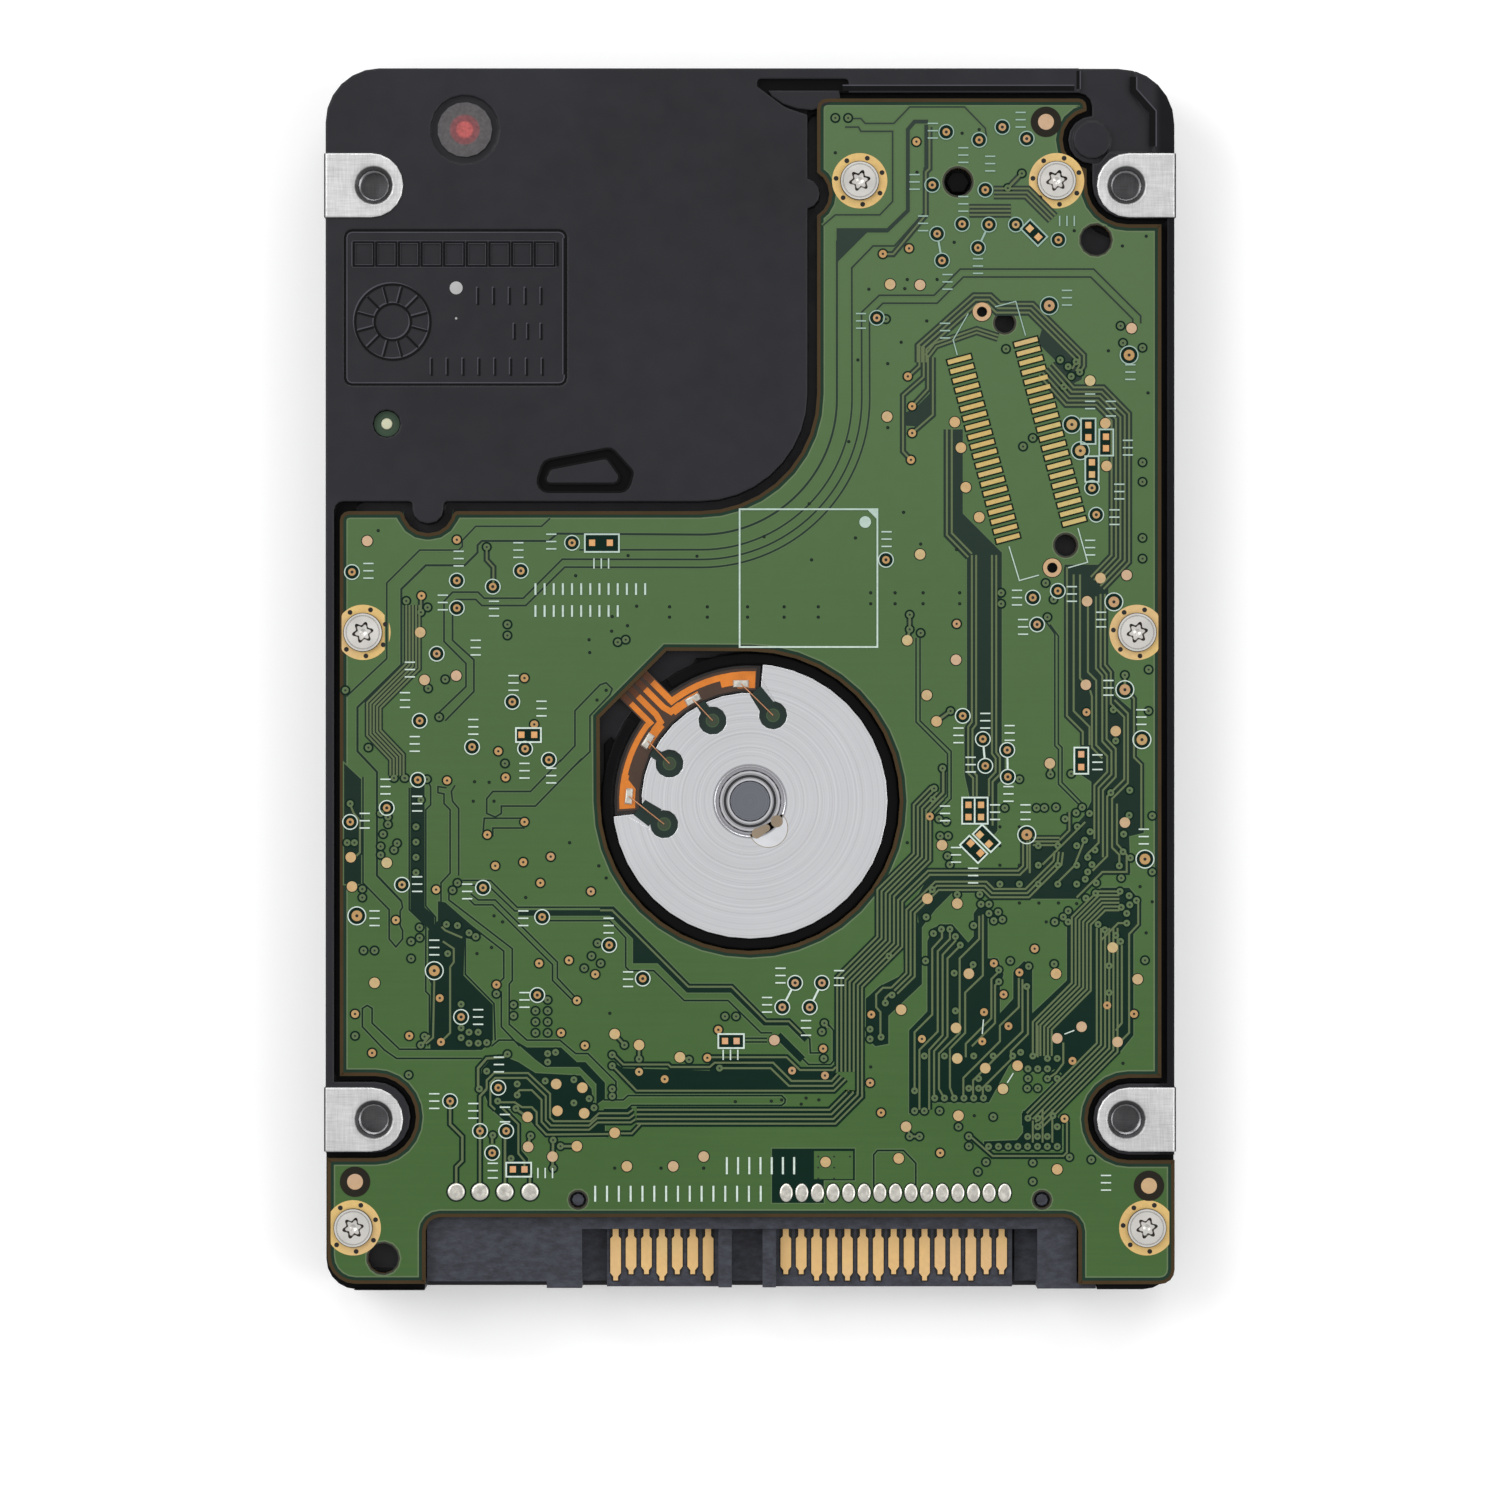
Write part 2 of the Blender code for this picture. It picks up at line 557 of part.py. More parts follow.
def make_connector():
    """The plug: a back wall that carries two contact tongues between guide blocks."""
    back = -45.15
    housing = box("sata_housing", (-26.55, back, 1.6), (26.85, -43.9, HOUSING_TOP))
    blocks = [
        tool(box("left_block", (-26.55, -49.46, 1.6), (-16.6, back + 0.1, HOUSING_TOP))),
        tool(box("left_step", (-16.7, -50.0, 1.6), (-13.8, back + 0.1, HOUSING_TOP))),
        tool(box("signal_tongue", (-11.8, -50.0, TONGUE_LOW), (-2.5, back + 0.1, TONGUE_HIGH))),
        tool(box("signal_key", (-2.6, -50.0, TONGUE_LOW), (-1.5, back + 0.1, 5.2))),
        tool(box("power_key", (1.03, -50.0, TONGUE_LOW), (2.13, back + 0.1, 5.2))),
        tool(box("power_tongue", (2.0, -50.0, TONGUE_LOW), (21.6, back + 0.1, TONGUE_HIGH))),
        tool(box("right_block", (23.6, -50.05, 1.6), (26.85, back + 0.1, HOUSING_TOP))),
        tool(box("right_foot", (26.7, -50.05, 1.6), (28.4, -49.55, HOUSING_TOP))),
        tool(box("flange", (-26.3, -44.0, 5.1), (26.6, -41.5, HOUSING_TOP))),
        tool(prism("pegs", [circle((-14.1, -42.7), 0.5), circle((23.95, -42.7), 0.5)], 5.2, 6.45)),
    ]
    slots = [
        tool(box("cut_signal_slot", (-11.7, back - 0.1, 4.12), (-2.8, -43.8, 4.3))),
        tool(box("cut_power_slot", (2.35, back - 0.1, 4.12), (21.35, -43.8, 4.3))),
    ]
    add(housing, paint("connector_plastic", (0.06, 0.06, 0.072), 0.55))
    combine(housing, "UNION", blocks)
    combine(housing, "DIFFERENCE", slots)
    gold = paint("contact_gold", (0.66, 0.45, 0.21), 0.3, 1.0)
    for name, (first, lengths) in (("sata_signal_contacts", SIGNAL_PINS), ("sata_power_contacts", POWER_PINS)):
        add(prism(name, [contact_comb(first, lengths)], CONTACT_LOW, CONTACT_HIGH), gold)


# ---------------------------------------------------------------- spindle motor and disk

def make_bracket():
    """The motor's outer disc, with a notch for the flexible circuit and four wells for the coil leads."""
    profile = [(3.0, 6.2), (BRACKET_RADIUS, 6.2), (BRACKET_RADIUS, 5.2), (3.55, 5.2), (3.55, 3.3),
               (2.55, 3.3), (2.55, 5.95)]
    bracket = place(turned("motor_bracket", profile, BRACKET_RADIUS, closed=True), SPINDLE)
    notch = tool(prism("cut_notch", [sector(SPINDLE, NOTCH_RADIUS - CLEAR, 12.5, NOTCH_START, NOTCH_END)], 5.0, 7.0))
    wells = []
    for angle, mouth, half in ((75.0, 88.0, 0.75), (115.0, 117.0, 0.45), (155.0, 153.0, 0.45), (195.0, 182.5, 0.95)):
        wells.append(keyhole(polar(SPINDLE, 7.3, angle), 1.17, polar(SPINDLE, 9.6, mouth), half))
    leads = tool(prism("cut_lead_wells", wells, 5.75, 7.0))
    add(bracket, paint("bracket_steel", (0.5, 0.5, 0.52), 0.35, 1.0))
    combine(bracket, "DIFFERENCE", [notch, leads])


def make_bearing():
    profile = [(1.75, 6.05), (2.5, 6.05), (2.5, 3.2), (1.54, 3.2), (1.54, 5.88), (1.75, 5.88)]
    steel = paint("bearing_steel", (0.35, 0.35, 0.37), 0.3, 1.0)
    add(place(turned("bearing_sleeve", profile, 2.5, closed=True), SPINDLE), steel)
    cap = [(0.0, 6.13), (1.6, 6.13), (1.7, 6.03), (1.7, 5.93), (0.0, 5.93)]
    add(place(turned("bearing_end_cap", cap, 1.7), SPINDLE), paint("cap_steel", (0.3, 0.3, 0.33), 0.35, 1.0))


def core_outline(grow=0.0):
    """Nine teeth with spread tips around a ring."""
    points = []
    half = 0.6 + grow
    root = 4.6 + grow
    for tooth in range(9):
        angle = 40.0 * tooth
        lean = math.degrees(math.asin(half / 7.9))
        foot = math.degrees(math.asin(half / root))
        points += [polar(SPINDLE, root, angle - foot), polar(SPINDLE, 7.9 - grow, angle - lean),
                   polar(SPINDLE, 7.9 - grow, angle - 15.0)]
        points += arc(SPINDLE, 8.65, angle - 15.0, angle + 15.0)
        points += [polar(SPINDLE, 7.9 - grow, angle + 15.0), polar(SPINDLE, 7.9 - grow, angle + lean),
                   polar(SPINDLE, root, angle + foot), polar(SPINDLE, root, angle + 20.0)]
    return points


def make_stator():
    core = prism("stator_core", [core_outline(), circle(SPINDLE, 3.6)], 3.5, 4.5)
    coils = [tilted_rectangle(polar(SPINDLE, 6.2, 40.0 * tooth), 2.6, 2.2, 40.0 * tooth) for tooth in range(9)]
    ring = prism("stator_windings", [circle(SPINDLE, 5.3), circle(SPINDLE, 4.3)], 4.65, 4.95)
    blocks = tool(prism("coil_blocks", coils, 3.1, 4.95))
    bore = tool(prism("cut_core", [core_outline(0.06)], 3.44, 4.56))
    add(core, paint("core_steel", (0.25, 0.25, 0.26), 0.4, 1.0))
    add(ring, paint("winding_copper", (0.55, 0.24, 0.1), 0.35, 1.0))
    combine(ring, "UNION", [blocks])
    combine(ring, "DIFFERENCE", [bore])


def make_motor_flex():
    """The flat circuit that joins the coil leads to the board: an arc over the notch and a straight tail."""
    flex = prism("motor_flex_cable", [sector(SPINDLE, 9.15, 10.95, 87.0, 184.5)], 5.54, 5.64)
    start = polar(SPINDLE, 10.2, 135.0)
    end = polar(SPINDLE, 17.0, 135.0)
    middle = ((start[0] + end[0]) / 2.0, (start[1] + end[1]) / 2.0)
    tail = tool(prism("flex_tail", [tilted_rectangle(middle, 6.8, 3.2, 135.0)], 5.54, 5.64))
    add(flex, paint("flex_orange", (0.75, 0.27, 0.04), 0.4))
    combine(flex, "UNION", [tail])


def make_spindle(axis):
    """The turning stack: shaft, hub, magnet, disk, clamp and its screw."""
    steel = paint("shaft_steel", (0.6, 0.6, 0.6), 0.2, 1.0)
    shaft = [(0.0, 5.84), (1.5, 5.84), (1.5, 1.45), (0.75, 1.45), (0.75, 2.6), (0.0, 2.6)]
    add(turned("spindle_shaft", shaft, 1.5), steel, axis)
    hub = [(1.55, 2.85), (9.9, 2.85), (9.9, 4.9), (10.6, 4.9), (10.6, 2.9), (12.6, 2.9), (12.6, 2.18),
           (9.95, 2.18), (9.95, 1.5), (1.55, 1.5)]
    add(turned("spindle_hub", hub, 10.6, closed=True), paint("hub_aluminium", (0.7, 0.7, 0.72), 0.3, 1.0), axis)
    magnet = prism("rotor_magnet", [circle((0.0, 0.0), 9.83), circle((0.0, 0.0), 8.9)], 3.1, 4.85)
    add(magnet, paint("magnet_ferrite", (0.08, 0.08, 0.09), 0.5), axis)
    platter = prism("platter", [circle((0.0, 0.0), PLATTER_RADIUS), circle((0.0, 0.0), PLATTER_BORE)],
                    PLATTER_LOW, PLATTER_HIGH)
    add(platter, paint("platter_mirror", (0.8, 0.8, 0.82), 0.05, 1.0), axis)
    clamp = [(0.8, 1.4), (10.6, 1.4), (10.8, 1.46), (12.2, 1.46), (12.2, 0.95), (8.5, 0.95), (7.5, 1.0), (0.8, 1.0)]
    add(turned("disk_clamp", clamp, 12.2, closed=True), steel, axis)
    clamp_screw = [(0.0, 2.5), (0.7, 2.5), (0.7, 0.95), (1.8, 0.95), (1.8, 0.6), (0.0, 0.6)]
    add(turned("clamp_screw", clamp_screw, 1.8), steel, axis)


# ---------------------------------------------------------------- actuator

def make_actuator(axis):
    """The swinging assembly, drawn about its pivot with the heads parked."""
    centre = (0.0, 0.0)
    alloy = paint("arm_aluminium", (0.65, 0.66, 0.68), 0.35, 1.0)
    hub = prism("actuator_arm", [circle(centre, 5.2), circle(centre, 3.42)], 0.57, 3.75)
    arm_shape = arm_outline(5.0, 21.0, 3.4, 2.0)
    lower = tool(prism("arm_lower", [arm_shape], 0.57, 1.115), axis)
    upper = tool(prism("arm_upper", [arm_shape], 2.52, 3.07), axis)
    fork = tool(prism("coil_fork", [sector(centre, 5.0, 8.1, COIL_DIRECTION - 30.0, COIL_DIRECTION + 30.0)],
                      2.8, 3.7), axis)
    bore = tool(prism("cut_pivot_bore", [circle(centre, 3.42)], 0.0, 4.5), axis)
    add(hub, alloy, axis)
    combine(hub, "UNION", [lower, upper, fork])
    combine(hub, "DIFFERENCE", [bore])

    bearing = [(3.37, 3.9), (3.37, 0.62), (1.55, 0.62), (1.55, 3.9)]
    add(turned("pivot_bearing", bearing, 3.37, closed=True), paint("bearing_grey", (0.4, 0.4, 0.42), 0.3, 1.0), axis)

    first = COIL_DIRECTION - COIL_HALF
    last = COIL_DIRECTION + COIL_HALF
    coil = prism("voice_coil", [sector(centre, 9.0, 15.5, first, last),
                                sector(centre, 11.0, 13.5, first + 9.0, last - 9.0)], 2.6, 3.9)
    add(coil, paint("coil_copper", (0.5, 0.2, 0.08), 0.35, 1.0), axis)
    frame = prism("coil_overmold", [sector(centre, 8.15, 16.5, first - 3.5, last + 3.5),
                                    sector(centre, 8.95, 15.55, first - 0.4, last + 0.4)], 2.75, 3.75)
    notch = tool(prism("cut_latch_notch", [sector(centre, 15.7, 17.0, 142.5, 151.0)], 2.0, 4.5), axis)
    corner = tool(prism("cut_frame_corner", [sector(centre, 15.7, 17.0, 178.5, 184.5)], 2.0, 4.5), axis)
    add(frame, paint("overmold_plastic", (0.12, 0.11, 0.1), 0.5), axis)
    combine(frame, "DIFFERENCE", [notch, corner])

    spring = paint("suspension_steel", (0.6, 0.6, 0.58), 0.25, 1.0)
    ceramic = paint("slider_ceramic", (0.1, 0.1, 0.11), 0.3)
    beam = arm_outline(16.5, HEAD_REACH + 0.7, 2.2, 0.7)
    tip = arm_outline(HEAD_REACH + 0.5, HEAD_REACH + 3.2, 0.3, 0.3)
    slider = arm_outline(HEAD_REACH - 0.6, HEAD_REACH + 0.6, 0.5, 0.5)
    for name, low in (("lower", 1.135), ("upper", 2.42)):
        piece = prism(f"suspension_{name}", [beam], low, low + 0.08)
        lift_tab = tool(prism(f"lift_tab_{name}", [tip], low, low + 0.08), axis)
        add(piece, spring, axis)
        combine(piece, "UNION", [lift_tab])
    add(prism("slider_lower", [slider], 1.225, 1.455), ceramic, axis)
    add(prism("slider_upper", [slider], 2.18, 2.41), ceramic, axis)
    chip = tilted_rectangle(polar(centre, 9.5, PARKED), 2.4, 1.6, PARKED)
    add(prism("preamp_chip", [chip], 3.1, 3.5), paint("preamp_epoxy", (0.03, 0.03, 0.03), 0.5), axis)


def arm_outline(start, end, half_start, half_end):
    """A tapering bar along the parked direction, from one reach to another."""
    return [polar(polar((0.0, 0.0), start, PARKED), half_start, PARKED - 90.0),
            polar(polar((0.0, 0.0), end, PARKED), half_end, PARKED - 90.0),
            polar(polar((0.0, 0.0), end, PARKED), half_end, PARKED + 90.0),
            polar(polar((0.0, 0.0), start, PARKED), half_start, PARKED + 90.0)]


def make_coil_motor():
    """The fixed half of the voice-coil motor: two magnets between two steel yokes on posts."""
    steel = paint("yoke_steel", (0.55, 0.55, 0.56), 0.3, 1.0)
    nickel = paint("magnet_nickel", (0.6, 0.58, 0.52), 0.25, 1.0)
    for name, low, high in (("cover", 1.32, 2.3), ("base", 4.2, 5.2)):
        add(prism(f"voice_magnet_{name}_side", [sector(PIVOT, 8.5, 16.5, 95.0, 185.0)], low, high), nickel)
    lower = prism("yoke_cover_side", [sector(PIVOT, 7.6, 16.7, 84.0, 196.0)], 0.5, 1.3)
    ear = tool(prism("latch_ear", [capsule(polar(PIVOT, 15.0, 133.6), LATCH, 1.6)], 0.5, 1.3))
    add(lower, steel)
    combine(lower, "UNION", [ear])
    add(prism("yoke_base_side", [sector(PIVOT, 7.6, 16.7, 84.0, 196.0)], 5.24, 6.1), steel)
    for number, angle in ((1, 88.0), (2, 192.0)):
        add(prism(f"yoke_post_{number}", [circle(polar(PIVOT, 13.0, angle), 0.8)], 1.33, 5.21), steel)
    stop = prism("crash_stop", [circle(polar(PIVOT, 15.4, 89.5), 1.0)], 1.33, 5.21)
    add(stop, paint("stop_rubber", (0.05, 0.05, 0.05), 0.8))
    shaft = [(0.0, 6.15), (1.5, 6.15), (1.5, 0.6), (0.0, 0.6)]
    add(place(turned("pivot_shaft", shaft, 1.5), PIVOT), steel)


def make_latch(axis):
    """The inertial latch: a hub on its pin, with a hook that drops into the coil frame's notch."""
    red = paint("latch_red", (0.5, 0.03, 0.03), 0.45)
    hub = prism("inertial_latch", [circle((0.0, 0.0), 1.25)], 2.7, 5.6)
    tip = (-0.41, -6.55)
    hook = tool(prism("latch_hook", [capsule((0.0, 0.0), tip, 0.35)], 2.7, 3.8), axis)
    weight = tool(prism("latch_weight", [capsule((0.0, 0.0), (3.6, 0.35), 0.7)], 2.7, 3.8), axis)
    bore = tool(prism("cut_latch_bore", [circle((0.0, 0.0), 0.58)], 2.0, 7.0), axis)
    add(hub, red, axis)
    combine(hub, "UNION", [hook, weight])
    combine(hub, "DIFFERENCE", [bore])
    pin = prism("latch_pin", [circle(LATCH, 0.52)], 1.33, 5.75)
    add(pin, paint("pin_steel", (0.6, 0.6, 0.6), 0.25, 1.0))


def flex_path():
    """Where the actuator's flexible circuit runs: out from the arm's hub, in one bow, to the header."""
    start = Vector(polar(PIVOT, 5.35, 18.0))
    end = Vector((19.3, 27.2))
    points = []
    steps = 16
    for step in range(steps + 1):
        part = step / steps
        bow = 4.2 * math.sin(math.pi * part)
        points.append(start.lerp(end, part) + Vector((0.15 * bow, bow)))
    return points


def make_actuator_flex():
    points = flex_path()
    half = 0.06
    first = []
    second = []
    for index, point in enumerate(points):
        before = points[max(index - 1, 0)]
        after = points[min(index + 1, len(points) - 1)]
        normal = (after - before).normalized().orthogonal()
        first.append(tuple(point + normal * half))
        second.append(tuple(point - normal * half))
    flex = prism("actuator_flex_cable", [first + list(reversed(second))], 1.4, 3.4)
    add(flex, paint("flex_amber", (0.6, 0.25, 0.05), 0.4))


def make_chamber_fittings():
    """The ramp that the heads park on, and the air filter beside the disk."""
    white = paint("ramp_plastic", (0.75, 0.74, 0.7), 0.4)
    ramp = prism("parking_ramp", [sector(PIVOT, 35.2, 38.0, -27.3, -19.0)], 1.27, 2.37)
    block = tool(prism("ramp_block", [sector(PIVOT, 37.6, 41.0, -25.5, -19.0)], 1.27, 3.6))
    foot = tool(prism("ramp_foot", [circle((29.1, 17.2), 1.2)], 1.27, CAVITY_TOP - CLEAR))
    add(ramp, white)
    combine(ramp, "UNION", [block, foot])
    felt = paint("filter_white", (0.8, 0.8, 0.78), 0.9)
    add(box("recirculation_filter", (-30.2, 14.5, 1.0), (-27.2, 22.0, 4.1)), felt)


def make_port():
    seal = prism("port_seal", [circle(LATCH, 2.25)], 6.4, 6.6)
    add(seal, paint("seal_film", (0.1, 0.1, 0.1), 0.5))


clear_scene()
DRIVE = make_collection("hard_disk_drive")
TOOLS = make_collection("guides")
SPINDLE_AXIS = make_axis("spindle_axis", SPINDLE)
PIVOT_AXIS = make_axis("pivot_axis", PIVOT)
LATCH_AXIS = make_axis("latch_axis", LATCH)

make_board()
make_chips()
make_screws()
make_port()
make_bearing()
make_chamber_fittings()
make_actuator_flex()
make_bracket()
make_stator()
make_motor_flex()
make_spindle(SPINDLE_AXIS)
make_actuator(PIVOT_AXIS)
make_latch(LATCH_AXIS)
make_coil_motor()
make_connector()
make_cover()
make_casting()
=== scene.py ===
"""The looks of a slim 2.5-inch hard disk drive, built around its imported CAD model.

Flat artwork is drawn in millimetres, in the drive's own frame: x to the right, y away from the plug.
MM turns millimetres into metres. Everything on the board is real, thin, closed geometry.
"""

import json
import math

import bmesh
import bpy
import numpy as np
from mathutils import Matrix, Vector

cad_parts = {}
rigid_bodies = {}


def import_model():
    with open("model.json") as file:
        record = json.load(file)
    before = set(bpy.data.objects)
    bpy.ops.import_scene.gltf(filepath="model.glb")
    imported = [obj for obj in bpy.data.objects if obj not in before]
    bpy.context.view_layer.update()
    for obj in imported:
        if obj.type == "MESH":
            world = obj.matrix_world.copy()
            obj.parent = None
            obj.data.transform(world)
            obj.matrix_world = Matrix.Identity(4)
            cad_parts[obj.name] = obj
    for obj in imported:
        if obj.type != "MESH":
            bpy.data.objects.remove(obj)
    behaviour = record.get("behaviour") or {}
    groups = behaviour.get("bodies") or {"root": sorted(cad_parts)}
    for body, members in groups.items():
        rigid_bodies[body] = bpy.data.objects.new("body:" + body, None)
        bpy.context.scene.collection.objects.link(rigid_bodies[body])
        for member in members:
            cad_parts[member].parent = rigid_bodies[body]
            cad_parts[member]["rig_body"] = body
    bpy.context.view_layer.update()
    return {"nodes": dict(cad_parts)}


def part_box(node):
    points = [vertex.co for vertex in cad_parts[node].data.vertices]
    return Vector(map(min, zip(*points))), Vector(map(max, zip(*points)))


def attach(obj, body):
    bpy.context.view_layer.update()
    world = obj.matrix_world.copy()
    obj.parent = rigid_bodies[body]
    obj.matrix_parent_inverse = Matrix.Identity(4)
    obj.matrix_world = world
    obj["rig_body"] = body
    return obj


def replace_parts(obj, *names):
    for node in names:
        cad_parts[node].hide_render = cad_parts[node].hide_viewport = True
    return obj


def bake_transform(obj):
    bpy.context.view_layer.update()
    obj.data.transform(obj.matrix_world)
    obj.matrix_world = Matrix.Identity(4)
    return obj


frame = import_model()
NODES = frame["nodes"]
MM = 0.001

BOARD_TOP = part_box("circuit_board")[1].z / MM
PANEL_FLOOR = 6.73
LAYER = 0.016  # thickness of one printed layer on the board
LIFT = 0.0044  # the shapes of one layer differ in height by no more than this
SPINDLE = (0.0, -10.0)
PORT = (-23.4, 45.1)
BOARD_SCREWS = [(9.0, 40.9), (25.15, 40.9), (-31.75, 3.85), (31.75, 3.85), (-32.55, -45.0), (32.55, -45.0)]
COVER_SCREWS = [(-30.9, 46.9), (30.9, 46.9), (-33.1, 14.0), (33.1, 14.0), (-31.0, -46.4), (31.0, -46.4)]
MOUNT_X = 30.86
MOUNT_MIDDLE, MOUNT_REACH = 2.2, 38.3  # along y
MOUNTS = [(side * MOUNT_X, MOUNT_MIDDLE + end * MOUNT_REACH) for side in (-1, 1) for end in (-1, 1)]
MOUNT_BORE = 1.72  # how far the bright metal of a mounting hole reaches from its axis
PIVOT = (-9.0, 30.0)
WELL_REACH = 7.3  # from the spindle's axis to the middle of a lead's well
TAIL_END = 15.4  # from the spindle's axis to the end of the motor circuit's tail
CONTACT_PITCH = 1.27
CONTACT_SHOULDER = 0.52  # half the width of a contact's slot
HEADER_PADS, HEADER_TURN = 20, 14.8
BOARD_SCREW = (6.97, 6.63, 4.6, 1.6)  # heights of the head's face, its underside and the tip, and its radius
COVER_SCREW = (0.04, 0.42, 3.1, 1.4)


# ---------------------------------------------------------------- materials

def tone(red, green, blue, alpha=1.0):
    """A colour given as display values from 0 to 255, as the linear values that shaders use."""
    def straight(value):
        value /= 255.0
        return value / 12.92 if value <= 0.04045 else ((value + 0.055) / 1.055) ** 2.4
    return (straight(red), straight(green), straight(blue), alpha)


class Look:
    """A Principled material with helpers that add the nodes its detail comes from."""

    def __init__(self, name, colour, roughness=0.5, metallic=0.0, **sockets):
        self.material = bpy.data.materials.new(name)
        self.material.use_nodes = True
        self.tree = self.material.node_tree
        self.shader = self.tree.nodes["Principled BSDF"]
        self.colour = colour
        self.shader.inputs["Base Color"].default_value = colour
        self.shader.inputs["Roughness"].default_value = roughness
        self.shader.inputs["Metallic"].default_value = metallic
        for socket, value in sockets.items():
            self.shader.inputs[socket.replace("_", " ")].default_value = value
        self.place = self.node("ShaderNodeTexCoord").outputs["Object"]

    def node(self, kind, **values):
        made = self.tree.nodes.new(kind)
        for key, value in values.items():
            setattr(made, key, value)
        return made

    def link(self, start, end):
        self.tree.links.new(start, end)

    def noise(self, scale, detail=3.0, stretch=(1.0, 1.0, 1.0), rough=0.5):
        """A noise value. The scale is in features per millimetre, and stretch multiplies it per axis."""
        mapping = self.node("ShaderNodeMapping")
        mapping.inputs["Scale"].default_value = [scale / MM * share for share in stretch]
        self.link(self.place, mapping.inputs["Vector"])
        noise = self.node("ShaderNodeTexNoise")
        noise.inputs["Scale"].default_value = 1.0
        noise.inputs["Detail"].default_value = detail
        noise.inputs["Roughness"].default_value = rough
        self.link(mapping.outputs["Vector"], noise.inputs["Vector"])
        return noise.outputs["Fac"]

    def distance(self, centre):
        """The distance in millimetres from an upright axis."""
        shift = self.node("ShaderNodeVectorMath", operation="SUBTRACT")
        shift.inputs[1].default_value = (centre[0] * MM, centre[1] * MM, 0.0)
        self.link(self.place, shift.inputs[0])
        flat = self.node("ShaderNodeVectorMath", operation="MULTIPLY")
        flat.inputs[1].default_value = (1.0 / MM, 1.0 / MM, 0.0)
        self.link(shift.outputs["Vector"], flat.inputs[0])
        return self.length(flat.outputs["Vector"])

    def length(self, vector):
        node = self.node("ShaderNodeVectorMath", operation="LENGTH")
        self.link(vector, node.inputs[0])
        return node.outputs["Value"]

    def split(self, vector):
        """The X, Y and Z of a vector."""
        node = self.node("ShaderNodeSeparateXYZ")
        self.link(vector, node.inputs["Vector"])
        return node.outputs

    def mount_distance(self, place):
        """The distance in millimetres from the nearest of the four mounting holes' axes."""
        to_side = [("ABSOLUTE", 0.0), ("SUBTRACT", MOUNT_X * MM), ("MULTIPLY", 1.0 / MM)]
        to_end = [("SUBTRACT", MOUNT_MIDDLE * MM), ("ABSOLUTE", 0.0), ("SUBTRACT", MOUNT_REACH * MM)]
        across = self.steps(place["X"], to_side)
        along = self.steps(place["Y"], to_end + [("MULTIPLY", 1.0 / MM)])
        joined = self.node("ShaderNodeCombineXYZ")
        self.link(across, joined.inputs["X"])
        self.link(along, joined.inputs["Y"])
        return self.length(joined.outputs["Vector"])

    def upward(self, start, end):
        """How far the surface faces up: 0 where its normal's height is start and 1 where it is end."""
        normal = self.split(self.node("ShaderNodeNewGeometry").outputs["Normal"])
        return self.spread(normal["Z"], 0.0, 1.0, start, end)

    def steps(self, value, sums):
        """A value put through a chain of sums."""
        for operation, number in sums:
            node = self.node("ShaderNodeMath", operation=operation)
            self.link(value, node.inputs[0])
            node.inputs[1].default_value = number
            value = node.outputs[0]
        return value

    def joined(self, operation, first, second):
        """Two values in one sum."""
        node = self.node("ShaderNodeMath", operation=operation)
        self.link(first, node.inputs[0])
        self.link(second, node.inputs[1])
        return node.outputs[0]

    def rings(self, centre, scale):
        """Noise that only changes with the distance from an axis: the marks of a lathe tool."""
        noise = self.node("ShaderNodeTexNoise", noise_dimensions="1D")
        noise.inputs["Scale"].default_value = scale
        noise.inputs["Detail"].default_value = 4.0
        self.link(self.distance(centre), noise.inputs["W"])
        return noise.outputs["Fac"]

    def spread(self, value, low, high, start=0.3, end=0.7):
        """Maps a noise value onto another range."""
        node = self.node("ShaderNodeMapRange")
        node.inputs["From Min"].default_value = start
        node.inputs["From Max"].default_value = end
        node.inputs["To Min"].default_value = low
        node.inputs["To Max"].default_value = high
        self.link(value, node.inputs["Value"])
        return node.outputs["Result"]

    def ramp(self, value, stops):
        """Colours along a value, as (position, colour) stops."""
        node = self.node("ShaderNodeValToRGB")
        band = node.color_ramp
        while len(band.elements) < len(stops):
            band.elements.new(0.5)
        for element, (position, colour) in zip(band.elements, stops):
            element.position = position
            element.color = colour
        self.link(value, node.inputs["Fac"])
        return node.outputs["Color"]

    def mix(self, factor, first, second, mode="MIX"):
        node = self.node("ShaderNodeMix", data_type="RGBA", blend_type=mode)
        if isinstance(factor, float):
            node.inputs["Factor"].default_value = factor
        else:
            self.link(factor, node.inputs["Factor"])
        for socket, value in (("A", first), ("B", second)):
            slot = next(s for s in node.inputs if s.name == socket and s.type == "RGBA")
            if isinstance(value, tuple):
                slot.default_value = value
            else:
                self.link(value, slot)
        return next(s for s in node.outputs if s.type == "RGBA")

    def shade(self, share, value):
        """Makes the base colour darker and lighter by a share as a value changes."""
        dark = tuple(c * (1.0 - share) for c in self.colour[:3]) + (1.0,)
        light = tuple(min(1.0, c * (1.0 + share)) for c in self.colour[:3]) + (1.0,)
        return self.ramp(value, [(0.3, dark), (0.7, light)])

    def paint(self, colour):
        self.link(colour, self.shader.inputs["Base Color"])
        return self

    def rough(self, value):
        self.link(value, self.shader.inputs["Roughness"])
        return self

    def bumps(self, height, strength, depth, soften=0.0):
        """Relief of the given depth in millimetres. soften is the radius that rounds the solid's edges."""
        bump = self.node("ShaderNodeBump")
        bump.inputs["Strength"].default_value = strength
        bump.inputs["Distance"].default_value = depth * MM
        self.link(height, bump.inputs["Height"])
        if soften:
            edge = self.node("ShaderNodeBevel", samples=6)
            edge.inputs["Radius"].default_value = soften * MM
            self.link(edge.outputs["Normal"], bump.inputs["Normal"])
        self.link(bump.outputs["Normal"], self.shader.inputs["Normal"])
        return self


